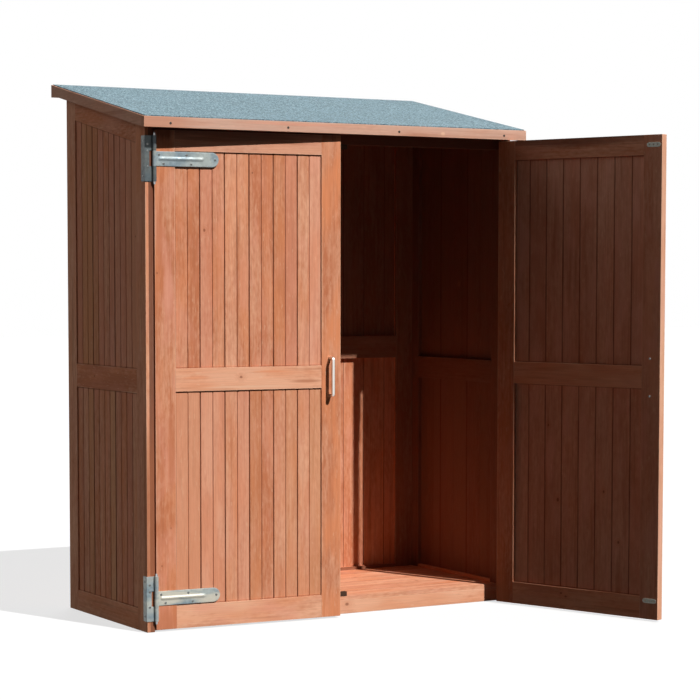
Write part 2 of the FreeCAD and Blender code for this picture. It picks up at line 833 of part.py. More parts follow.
def door(side, way):
    """One door, drawn shut from its pin; way is the side of the pin on which it lies."""
    skins = size["cladding_thickness"] + size["lining_thickness"]
    panel = Panel("XZ", door_face, 1, size["door_thickness"], size["cladding_thickness"], skins, way)
    deep = size["groove_depth"]
    hidden = deep - size["groove_play"]
    low = size["door_lift"]
    inner_start = door_hinge_edge + size["door_stile_width"]
    inner_end = door_free_edge - size["door_stile_width"]
    first = len(parts)

    member(f"{side}_door_hinge_stile", panel,
           box(way * door_hinge_edge, way * inner_start, low, door_top),
           [box(way * (inner_start - deep), way * inner_start, low, door_top)])
    member(f"{side}_door_free_stile", panel,
           box(way * inner_end, way * door_free_edge, low, door_top),
           [box(way * inner_end, way * (inner_end + deep), low, door_top)])

    half = size["door_rail_width"] / 2
    mid_bottom = size["door_mid_rail_centre"] - half
    mid_top = size["door_mid_rail_centre"] + half
    rail_top = low + size["door_rail_width"]
    rail_under = door_top - size["door_top_rail_width"]
    start = way * inner_start
    end = way * inner_end
    rail(f"{side}_door_bottom_rail", panel, start, end, low, rail_top, ("upper",))
    rail(f"{side}_door_mid_rail", panel, start, end, mid_bottom, mid_top, ("lower", "upper"))
    rail(f"{side}_door_top_rail", panel, start, end, rail_under, door_top, ("lower",))

    bottom = rail_top - hidden
    top = rail_under + hidden
    behind_rail = box(start - way * deep, end + way * deep, mid_bottom + hidden, mid_top - hidden)
    across = panel.span(0, panel.thickness)

    body = boards(f"{side}_door_cladding", panel, inner_start, inner_end, bottom, top,
                  size["cladding_boards"], False)
    pocket(body, "XZ", *across, [behind_rail])

    body = new_body(f"{side}_door_lining")
    lining = (size["board_recess"] + size["cladding_thickness"], size["board_recess"] + skins)
    pad(body, "XZ", *panel.span(*lining),
        [box(way * (inner_start - hidden), way * (inner_end + hidden), bottom, top)])
    trims = size["lining_trim_hinge"] + size["lining_trim_free"]
    pitch = (inner_end - inner_start + trims) / size["lining_boards"]
    seam = inner_start + pitch - size["lining_trim_hinge"]
    gap = size["lining_gap"] / 2
    slit = pocket(body, "XZ", *across, [box(way * (seam - gap), way * (seam + gap), bottom, top)])
    repeat(body, "X", pitch * (size["lining_boards"] - 2), size["lining_boards"] - 1, [slit], way < 0)
    pocket(body, "XZ", *across, [behind_rail])

    strap_plates(side, way)
    bow_handle(side, way)
    strike_plates(side, way)
    door_screws(side, way)

    angle = -way * size[f"{side}_open_angle"]
    for body in parts[first:]:
        body.Placement.Rotation = FreeCAD.Rotation(FreeCAD.Vector(0, 0, 1), angle.value)
        body.setExpression("Placement.Rotation.Angle", angle.formula)
        place_feature(body, -way * pin_offset, pin_front, 0)
    document.recompute()


def write_parts():
    """Check every object, then write one file for each piece."""
    document.recompute()
    for item in document.Objects:
        if "Invalid" in item.State or "Error" in item.State:
            raise RuntimeError(f"{item.Label} failed: {item.State}")
    for body in parts:
        if body.Shape.isNull() or not body.Shape.isValid() or not body.Shape.Solids:
            raise RuntimeError(f"{body.Label} has no valid solid")
    os.makedirs("parts", exist_ok=True)
    for body in parts:
        body.Shape.exportStep(f"parts/{body.Label}.step")
        print(f"{body.Label}: {len(body.Shape.Solids)} solids")


floor()
side_frame("left", -1)
side_frame("right", 1)
back_frame()
roof()
post_hinges("left", -1)
post_hinges("right", 1)
post_hinge_screws()
magnet_catches()
door("left", 1)
door("right", -1)
write_parts()
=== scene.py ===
import itertools
import json
import math
from dataclasses import dataclass

import bmesh
import bpy
from bpy.props import FloatProperty, FloatVectorProperty, PointerProperty
from mathutils import Matrix, Vector


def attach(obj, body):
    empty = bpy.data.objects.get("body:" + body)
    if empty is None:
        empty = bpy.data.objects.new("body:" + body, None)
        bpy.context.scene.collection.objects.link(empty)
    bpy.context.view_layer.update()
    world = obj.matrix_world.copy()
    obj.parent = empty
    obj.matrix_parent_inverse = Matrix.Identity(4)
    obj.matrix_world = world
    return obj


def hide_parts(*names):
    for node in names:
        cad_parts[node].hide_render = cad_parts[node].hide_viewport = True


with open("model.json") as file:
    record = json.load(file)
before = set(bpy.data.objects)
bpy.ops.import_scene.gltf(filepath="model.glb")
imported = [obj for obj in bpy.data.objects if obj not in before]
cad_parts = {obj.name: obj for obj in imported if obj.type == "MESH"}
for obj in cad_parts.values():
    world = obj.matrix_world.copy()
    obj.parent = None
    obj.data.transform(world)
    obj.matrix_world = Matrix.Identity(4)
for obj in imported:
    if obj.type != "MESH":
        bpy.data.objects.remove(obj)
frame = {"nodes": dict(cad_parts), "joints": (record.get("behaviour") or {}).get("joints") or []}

bl_info = {
    "name": "Garden storage cabinet",
    "version": (1, 0, 0),
    "blender": (4, 5, 0),
    "location": "View3D > Sidebar > Cabinet",
    "description": "Timber, felt and hinge finishes for a boarded garden cabinet with two doors",
    "category": "Object",
}


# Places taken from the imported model

def pin_of(side):
    """Where a door's hinge pins stand, and how far the door is swung from shut."""
    joint = next(j for j in frame["joints"] if j["name"] == f"{side}_door_swing")
    turn = -math.radians(joint["range_deg"][0]) * joint["axis"][2]
    return Vector(joint["pos_m"]), turn


WAYS = {"left": 1, "right": -1}
PINS = {side: pin_of(side) for side in WAYS}


def door_place(side):
    """The matrix from a shut door's own measures, with its pin at the origin, to the frame."""
    pin, turn = PINS[side]
    return Matrix.Translation(pin) @ Matrix.Rotation(turn, 4, "Z")


def own_box(node, side=None):
    """The lowest and highest corners of a node; a door's node is measured in the door's frame."""
    back = door_place(side).inverted() if side else Matrix.Identity(4)
    points = [back @ corner.co for corner in frame["nodes"][node].data.vertices]
    low = Vector(min(point[axis] for point in points) for axis in range(3))
    high = Vector(max(point[axis] for point in points) for axis in range(3))
    return low, high


# Finishes

def sign(operation, reflected=False):
    """A sign's method, which joins its two values in a Math node."""
    def method(wire, other):
        values = (other, wire) if reflected else (wire, other)
        return wire.finish.maths(operation, *values)
    return method


class Wire:
    """A value in a finish that can be added, scaled and compared with ordinary signs."""

    def __init__(self, finish, socket):
        self.finish = finish
        self.socket = socket

    def output(self, name):
        """Another output of the same node."""
        return Wire(self.finish, self.socket.node.outputs[name])

    __add__ = sign("ADD")
    __radd__ = sign("ADD", reflected=True)
    __sub__ = sign("SUBTRACT")
    __rsub__ = sign("SUBTRACT", reflected=True)
    __mul__ = sign("MULTIPLY")
    __rmul__ = sign("MULTIPLY", reflected=True)
    __truediv__ = sign("DIVIDE")
    __rtruediv__ = sign("DIVIDE", reflected=True)
    __gt__ = sign("GREATER_THAN")
    __lt__ = sign("LESS_THAN")


class Finish:
    """A material, or the air round the stage, whose nodes are joined up from Python."""

    def __init__(self, name, kept_in=None):
        self.material = (bpy.data.materials if kept_in is None else kept_in).new(name)
        self.material.use_nodes = True
        self.tree = self.material.node_tree
        self.tree.nodes.clear()

    def node(self, kind, settings, sockets, output=0):
        """A node with its settings made first, then its sockets filled or joined."""
        made = self.tree.nodes.new(kind)
        for setting, value in settings.items():
            setattr(made, setting, value)
        for socket, value in sockets.items():
            if isinstance(value, Wire):
                self.tree.links.new(value.socket, made.inputs[socket])
            else:
                made.inputs[socket].default_value = value
        return Wire(self, made.outputs[output])

    def maths(self, operation, *values):
        return self.node("ShaderNodeMath", {"operation": operation}, dict(enumerate(values)))

    def least(self, first, second):
        return self.maths("MINIMUM", first, second)

    def most(self, first, second):
        return self.maths("MAXIMUM", first, second)

    def vector(self, operation, *values):
        return self.node("ShaderNodeVectorMath", {"operation": operation}, dict(enumerate(values)))

    def scaled(self, colour, by):
        return self.node("ShaderNodeVectorMath", {"operation": "SCALE"}, {0: colour, "Scale": by})

    def mixed(self, low, high, share):
        """A colour between low and high."""
        low, high = (value if isinstance(value, Wire) else (*value, 1) for value in (low, high))
        made = self.node("ShaderNodeMix", {"data_type": "RGBA"}, {0: share, 6: low, 7: high})
        return made.output(2)

    def ramp(self, value, low, high):
        """0 below low and 1 above high, with soft ends."""
        return self.node("ShaderNodeMapRange", {"interpolation_type": "SMOOTHSTEP"},
                         {"Value": value, "From Min": low, "From Max": high})

    def fade(self, value, low, high):
        """1 below low and 0 above high, with soft ends."""
        return 1 - self.ramp(value, low, high)

    def noise(self, place, scale, detail=2.0, roughness=0.5, distortion=0.0):
        return self.node("ShaderNodeTexNoise", {},
                         {"Vector": place, "Scale": scale, "Detail": detail,
                          "Roughness": roughness, "Distortion": distortion})

    def chance(self, *cell):
        """A random value, and a random colour, for a cell numbered by three numbers."""
        place = self.node("ShaderNodeCombineXYZ", {}, dict(enumerate(cell)))
        return self.node("ShaderNodeTexWhiteNoise", {"noise_dimensions": "3D"}, {"Vector": place})

    def axes(self, place):
        split = self.node("ShaderNodeSeparateXYZ", {}, {0: place})
        return {"x": split, "y": split.output("Y"), "z": split.output("Z")}

    def place(self, side=None):
        """The surface point in metres, in the frame or in a door's own frame."""
        point = self.node("ShaderNodeTexCoord", {}, {}, "Object")
        if side is None:
            return point
        pin, turn = PINS[side]
        return self.node("ShaderNodeMapping", {"vector_type": "TEXTURE"},
                         {"Vector": point, "Location": pin, "Rotation": (0, 0, turn)})

    def surface(self, colour, roughness, bump, specular=0.5, metallic=0.0):
        """Shows a surface; bump is a height, how deep it goes in metres and its strength."""
        height, depth, strength = bump
        normal = self.node("ShaderNodeBump", {},
                           {"Height": height, "Distance": depth, "Strength": strength})
        self.show(self.node("ShaderNodeBsdfPrincipled", {}, {
            "Base Color": colour, "Roughness": roughness, "Normal": normal,
            "Specular IOR Level": specular, "Metallic": metallic}))
        return self.material

    def show(self, shader):
        """Joins a shader to the material's, or the air's, surface."""
        air = isinstance(self.material, bpy.types.World)
        out = self.tree.nodes.new("ShaderNodeOutputWorld" if air else "ShaderNodeOutputMaterial")
        self.tree.links.new(shader.socket, out.inputs["Surface"])


def edge_gap(finish, axes, low, high):
    """How far a point on a member's face is from that face's nearest edge."""
    gaps = []
    for number, axis in enumerate("xyz"):
        gaps.append(finish.least(axes[axis] - low[number], high[number] - axes[axis]))
    small = finish.least(gaps[0], gaps[1])
    large = finish.most(gaps[0], gaps[1])
    return finish.most(small, finish.least(large, gaps[2]))


@dataclass
class Boards:
    """How one node's boards lie: the axis across them, where they start and their pitch.

    seam is half the width of the line between two boards, vee that of the grooves within one, and
    groove the distance between grooves. split is the height where the upper boards take over from
    the lower ones, and bay the start and width of the bays that repeat them. openings are the
    frame's daylight, each as its low and high along the axis, its low and high z, and how much its
    top rises along the axis. With strips, each side of a groove has its own tint. outer is the
    axis through the boards, and where along it their grooved side starts and ends.
    """

    axis: str
    start: float
    pitch: float
    seam: float = 0.0
    vee: float = 0.0
    groove: float = 0.0
    split: float = 0.0
    bay: tuple = ()
    count: int = 0
    openings: tuple = ()
    strips: bool = False
    outer: tuple = ()


# The noises in the wood: how fine across and along the grain, then detail, roughness, distortion
GRAIN = {
    "wash": (9.0, 2.5),
    "flame": (34.0, 3.4, 3.0, 0.55, 0.2),
    "streak": (130.0, 5.0, 2.0, 0.6),
    "mottle": (110.0, 38.0),
    "fibre": (330.0, 8.0, 3.0, 0.6),
    "rings": (22.0, 0.7, 1.5, 0.45, 0.2),
    "orange": (16.0, 3.5),
    "pink": (14.0, 6.0),
    "brown": (46.0, 2.2, 2.0, 0.6),
    "fleck": (170.0, 34.0, 1.0),
    "ragged": (60.0, 14.0),
    "filled": (20.0, 6.0),
}
RINGS = 150.0
KNOT_LENGTH = 1.33
STRAY_ACROSS, STRAY_ALONG = 6.0, 3.5


def seams_and_corner_shade(finish, axes, boards, across, grooved, ragged):
    """How much stain lies in the seams and grooves, and how dark the line along the frame's edges
    round the boards is: partly the joint and partly painted shade in the corner.
    """
    wood = bpy.context.scene.cabinet_timber
    gap = finish.maths("PINGPONG", across, boards.pitch / 2) / ragged
    seams_and_shade = finish.fade(gap, boards.seam * 0.3, boards.seam)
    if boards.vee:
        groove = boards.groove or boards.pitch / 2
        gap = finish.maths("PINGPONG", across, groove / 2) / ragged
        light = finish.fade(gap, boards.vee * 0.2, boards.vee)
        seams_and_shade = finish.most(seams_and_shade, light * wood.groove_depth * grooved)
    if boards.openings:
        inside = None
        along = axes[boards.axis]
        for start, end, bottom, top, rise in boards.openings:
            sides = finish.least(along - start, end - along)
            ends = finish.least(axes["z"] - bottom, top + along * rise - axes["z"])
            gap = finish.least(sides, ends)
            inside = gap if inside is None else finish.most(inside, gap)
        # A dark line round the openings: partly the joint with the frame, partly painted shade in
        # the corner
        corner = finish.fade(inside / ragged, 0.0012, 0.0050)
        seams_and_shade = finish.most(seams_and_shade, corner * 0.7 * grooved)
    if boards.count:
        within = boards.pitch / 2 * (boards.count - 1)
        middle = finish.maths("ABSOLUTE", across - boards.pitch / 2 * boards.count)
        seams_and_shade = seams_and_shade * (middle < within)
    return seams_and_shade


def timber(name, node, grain, face, tone, seed, side=None, boards=None, knots=(), patches=(),
           bands=(), stray=0.0, edges=True, warmth=0.5, pink=0.3, faded=0.0):
    """Stained softwood: board colours, washes, streaks, rings, knots, worn edges and dark seams,
    with painted shade in the corners round the boards and where bands or patches lay it.

    grain is the axis along the wood and face the axis across it in its widest face. tone runs from
    0, red, to 1, pale. warmth and pink are how much orange and pink lie over it, and faded how far
    the sun has bleached it. stray is the share of places that have a knot. A knot is its place
    across and along the grain and its radius. A patch adds how many times longer than wide it is,
    a shade and how much of that shows. A band is its limits, each an axis and where it starts and
    ends on it, and the same two.
    """
    wood = bpy.context.scene.cabinet_timber
    finish = Finish(name)
    place = finish.place(side)
    axes = finish.axes(place)
    index = 0.0
    bay = 0.0
    grooved = 1.0
    if boards:
        across = axes[boards.axis] - boards.start
        if boards.bay:
            start, width = boards.bay
            bay = finish.maths("FLOOR", (axes[boards.axis] - start) / width)
            across = across - bay * width
        index = finish.maths("FLOOR", across / boards.pitch)
        if boards.split:
            bay = bay + (axes["z"] > boards.split) * 7.0
        if boards.outer:
            axis, start, end = boards.outer
            grooved = (axes[axis] > start) * (axes[axis] < end)
    chance = finish.chance(index, bay, float(seed))
    shifted = finish.vector("MULTIPLY_ADD", chance.output("Color"), (9.0, 9.0, 9.0), place)

    def grained(kind):
        over, along, *rest = GRAIN[kind]
        scale = tuple(along if axis == grain else over for axis in "xyz")
        return finish.noise(finish.vector("MULTIPLY", shifted, scale), 1.0, *rest)

    def gap_from(flat, along, long=KNOT_LENGTH):
        gap_across = axes[face] - flat
        gap_along = (axes[grain] - along) / long
        return finish.maths("SQRT", gap_across * gap_across + gap_along * gap_along)

    # Knots: chosen ones by place, and stray ones in cells of the widest face
    knot = 0.0
    swirl = 0.0
    for flat, along, radius in knots:
        gap = gap_from(flat, along)
        knot = finish.most(knot, finish.fade(gap, radius * 0.5, radius * 1.2))
        swirl = finish.most(swirl, finish.fade(gap, 0.0, radius * 5))
    if stray:
        spread = finish.axes(shifted)
        cell_place = finish.node(
            "ShaderNodeCombineXYZ", {},
            {0: spread[face] * STRAY_ACROSS, 1: spread[grain] * STRAY_ALONG})
        near = finish.node("ShaderNodeTexVoronoi", {"voronoi_dimensions": "2D"},
                           {"Vector": cell_place, "Scale": 1.0})
        drawn = finish.axes(near.output("Color"))
        chosen = drawn["x"] < stray
        offset = finish.vector("SUBTRACT", cell_place, near.output("Position"))
        gap = finish.vector("LENGTH", finish.vector("MULTIPLY", offset, (1 / 6.0, 1 / 4.6, 0)))
        gap = gap.output("Value") / (0.002 + drawn["y"] * 0.0035)
        knot = finish.most(knot, finish.fade(gap, 0.5, 1.2) * chosen)
        swirl = finish.most(swirl, finish.fade(gap, 0.0, 5.0) * chosen)

    # Colour: from red to pale by board, wash and streak, then the tints that lie over it
    wash = grained("wash")
    streak = grained("streak")
    fibre = grained("fibre")
    figure = finish.maths("SINE", (grained("rings") + swirl * 0.12) * RINGS) * 0.5 + 0.5
    share = tone + (chance.output("Value") - 0.5) * wood.board_spread
    share = share + (wash - 0.5) * (0.9 if boards else 1.5) + (grained("flame") - 0.5) * 0.8
    share = share + (streak - 0.5) * 0.9 + (grained("mottle") - 0.5) * 1.1
    strips = boards and boards.strips
    if strips:
        strip = finish.maths("FLOOR", across / boards.groove)
        lot = finish.chance(strip, bay, seed + 0.5)
        share = share + (lot.output("Value") - 0.5) * wood.board_spread * grooved
    share = finish.least(finish.most(share, 0.0), 1.0)
    colour = finish.mixed(wood.red, wood.pale, share)
    colour = finish.mixed(colour, wood.orange, finish.ramp(grained("orange"), 0.4, 0.68) * warmth)
    colour = finish.mixed(colour, wood.pink, finish.ramp(grained("pink"), 0.45, 0.7) * pink)
    if faded:
        bleach = (finish.ramp(wash, 0.2, 0.6) + 1.0) * (faded / 2)
        colour = finish.mixed(colour, wood.faded, bleach)
    brown = finish.ramp(grained("brown"), 0.54, 0.76) * wood.streak_depth
    colour = finish.mixed(colour, wood.brown, brown)
    if strips:
        hue = finish.axes(lot.output("Color"))
        colour = finish.mixed(colour, wood.gold, finish.ramp(hue["y"], 0.4, 0.8) * 0.45)
        colour = finish.mixed(colour, wood.pink, finish.ramp(hue["z"], 0.5, 0.85) * 0.35)
    fleck = finish.ramp(grained("fleck"), 0.67, 0.75)
    colour = finish.mixed(colour, wood.worn, fleck * 0.3)
    shade = 1.04 - figure * wood.figure_depth - finish.ramp(fibre, 0.3, 0.75) * wood.fibre_depth
    colour = finish.scaled(colour, shade)
    if edges:
        low, high = own_box(node, side)
        worn = finish.fade(edge_gap(finish, axes, low, high), 0.0006, 0.0035)
        worn = worn * finish.ramp(streak + wash, 0.75, 1.15)
        colour = finish.mixed(colour, wood.worn, worn * 0.5)
    for limits, tint, depth in bands:
        for axis, start, end in limits:
            depth = (axes[axis] > start) * (axes[axis] < end) * depth
        colour = finish.mixed(colour, getattr(wood, tint), depth)
    for flat, along, radius, long, tint, depth in patches:
        gap = gap_from(flat, along, long) + (streak - 0.5) * radius * 0.8
        patch = finish.fade(gap, radius * 0.4, radius * 1.2)
        colour = finish.mixed(colour, getattr(wood, tint), patch * depth)
    if knots or stray:
        colour = finish.mixed(colour, wood.red, swirl * 0.3)
        colour = finish.mixed(colour, wood.knot, knot * 0.6)
    if boards and boards.seam:
        ragged = 0.75 + grained("ragged") * 0.6
        filled = finish.ramp(grained("filled"), 0.3, 0.65) * 0.45 + 0.6
        # Seams and grooves, with painted shade in the corners round the boards
        seams_and_shade = seams_and_corner_shade(finish, axes, boards, across, grooved, ragged)
        colour = finish.mixed(colour, wood.seam, seams_and_shade * filled * wood.seam_depth)
    return finish.surface(colour, 0.5 + fibre * 0.2 + figure * 0.06,
                          (figure * 0.3 + fibre, 0.0004, 0.3), specular=0.05)


def wear(node, material):
    """Puts a finish on every slot of a node that is carried over."""
    mesh = frame["nodes"][node].data
    if not mesh.materials:
        mesh.materials.append(material)
    for place in range(len(mesh.materials)):
        mesh.materials[place] = material


WELD_REACH = 0.00001
ARRIS_ANGLE = math.radians(28)


def soften(node, width, segments=2):
    """Rounds a carried-over node's arrises a little, without touching its mesh."""
    thing = frame["nodes"][node]
    weld = thing.modifiers.new("Weld", "WELD")
    weld.merge_threshold = WELD_REACH
    bevel = thing.modifiers.new("Arris", "BEVEL")
    bevel.width = width
    bevel.segments = segments
    bevel.limit_method = "ANGLE"
    bevel.angle_limit = ARRIS_ANGLE
    bevel.face_strength_mode = "FSTR_ALL"
    flat = thing.modifiers.new("Flat faces", "WEIGHTED_NORMAL")
    flat.use_face_influence = True
    flat.keep_sharp = False


# Sizes and colours

def tint_setting(name, description, *tint):
    return FloatVectorProperty(name=name, description=description, subtype="COLOR", size=3,
                               min=0, max=1, default=tint)


def share_setting(name, description, share):
    return FloatProperty(name=name, description=description, subtype="FACTOR", min=0, max=1,
                         default=share)


def length_setting(name, description, length, least, most):
    return FloatProperty(name=name, description=description, subtype="DISTANCE", unit="LENGTH",
                         min=least, max=most, default=length)


def strength_setting(name, description, strength, most):
    return FloatProperty(name=name, description=description, min=0, max=most, default=strength)


class CabinetTimber(bpy.types.PropertyGroup):
    """Colours and figure of the stained timber."""

    red: tint_setting("Red boards", "The reddest boards", 0.53, 0.179, 0.084)
    pale: tint_setting("Pale boards", "The palest boards", 0.80, 0.412, 0.256)
    orange: tint_setting("Orange streaks", "Warm streaks along the grain", 0.72, 0.257, 0.116)
    pink: tint_setting("Pink washes", "Where the stain has faded to pink", 0.74, 0.315, 0.212)
    gold: tint_setting("Golden strips", "Strips that have weathered to a golden tan",
                       0.66, 0.315, 0.145)
    brown: tint_setting("Brown streaks", "Dark streaks along the grain", 0.38, 0.125, 0.055)
    faded: tint_setting("Faded timber", "Timber that the sun has bleached", 0.62, 0.40, 0.31)
    # Painted shade, though labelled thick stain: a dark tint standing in for shade on the faces
    # turned into the cabinet, the header, the upper back boards and the doors' tops under the eaves
    inner: tint_setting("Inner faces", "Thick stain, on the faces turned inwards",
                        0.105, 0.036, 0.022)
    worn: tint_setting("Worn arrises", "Bare wood at the worn edges", 0.80, 0.50, 0.33)
    knot: tint_setting("Knots", "The middle of a knot", 0.155, 0.045, 0.020)
    # The seam tint is also laid as painted shade: in the corners round the boards and on the barge
    # boards' top edges
    seam: tint_setting("Seams", "Stain gathered in the grooves", 0.140, 0.035, 0.014)
    board_spread: share_setting("Board spread", "How much one board differs from the next", 0.5)
    streak_depth: share_setting("Streaks", "How dark the brown streaks are", 0.45)
    figure_depth: share_setting("Figure", "How dark the rings are", 0.06)
    fibre_depth: share_setting("Fibres", "How dark the fibres are", 0.07)
    seam_depth: share_setting("Seam depth", "How dark the seams are", 0.78)
    groove_depth: share_setting("Groove depth", "How dark the grooves within a board are", 0.6)
    arris: length_setting("Arris", "Rounding of the timber's edges", 0.0009, 0, 0.005)


class CabinetRoof(bpy.types.PropertyGroup):
    """Colours of the mineral felt."""

    felt: tint_setting("Felt", "The felt's usual granules", 0.081, 0.146, 0.178)
    felt_pale: tint_setting("Pale granules", "The palest granules", 0.222, 0.338, 0.378)
    felt_dark: tint_setting("Dark granules", "The darkest granules", 0.03, 0.055, 0.066)
    granule: length_setting("Granule", "Width of one granule", 0.0042, 0.0005, 0.01)


class CabinetMetal(bpy.types.PropertyGroup):
    """Colours and sizes of the hinges, handles and screws."""

    zinc: tint_setting("Zinc", "Galvanised straps and leaves", 0.37, 0.41, 0.39)
    # Painted reflection of the sky, though labelled dulled zinc
    zinc_sky_reflection: tint_setting("Blue zinc", "Where the zinc has dulled to blue grey",
                            0.20, 0.265, 0.30)
    # Painted reflection of the ground, low down
    zinc_ground_reflection: tint_setting("Warm zinc", "Zinc that mirrors the ground, low down",
                            0.62, 0.57, 0.46)
    zinc_bloom: tint_setting("Zinc bloom", "White bloom on the zinc", 0.50, 0.54, 0.51)
    nickel: tint_setting("Nickel", "Satin handles", 0.74, 0.70, 0.65)
    steel: tint_setting("Steel", "Screws of the hinges and doors", 0.18, 0.185, 0.18)
    screw_radius: length_setting("Screw head", "Radius of a screw head", 0.0042, 0.001, 0.01)


class CabinetStudio(bpy.types.PropertyGroup):
    """The stage round the cabinet."""

    key: strength_setting("Key lamp", "Strength of the front lamp", 4.75, 20)
    side: strength_setting("Side lamp", "Strength of the lamp on the left", 0.41, 20)
    rear: strength_setting("Rear lamp", "Strength of the lamp behind", 2.0, 20)
    fill: strength_setting("Fill", "Even light from all round", 0.022, 2)
    shadow: share_setting("Floor shadow", "How much of the floor's shading shows", 0.3)
    reach: length_setting("Floor", "Half the floor's width", 30, 2, 100)


# Timber

# Where the side and the back boards start and their width, and the same for the back's two bays
SIDE_START, SIDE_PITCH = -0.2475, 0.18
BACK_START, BACK_PITCH = -0.62, 0.08977
BAY_START, BAY_WIDTH = -0.635, 0.6565
# The same along a door, from its pins, for its cladding and its lining
CLADDING_START, CLADDING_PITCH = 0.0755, 0.09
LINING_START, LINING_PITCH = 0.1345, 0.0715
# How far apart the grooves of the sides and the cladding are
STRIP = 0.045
# The heights of the middle rails' middles
SIDE_MIDDLE, BACK_MIDDLE, DOOR_MIDDLE = 0.83, 0.9085, 0.8355
# How much the roof rises for each metre towards the back
ROOF_RISE = 0.2
# How far into the boards the finish of their inward faces reaches: no grooves there, and painted
# shade
INNER_SKIN = 0.001


def stain(node, grain, face, tone, seed, side=None, rounding=1.0, segments=2, **look):
    """Stains a carried-over node in its own timber and takes off its arrises."""
    wear(node, timber(node + "_stain", node, grain, face, tone, seed, side, **look))
    soften(node, bpy.context.scene.cabinet_timber.arris * rounding, segments)


def facing(axis, start, end, tint, depth):
    """A band between two places along one axis."""
    return (((axis, start, end),), tint, depth)


def daylight(panel, start, end, side=None, rise=0.0):
    """The openings under and over a panel's middle rail, from start to end along it."""
    middle = own_box(panel + "_mid_rail", side)
    top = own_box(panel + "_top_rail", side)[0].z
    bottom = own_box(panel + "_bottom_rail", side)[1].z
    return ((start, end, bottom, middle[0].z, 0.0),
            (start, end, middle[1].z, top - rise * start, rise))


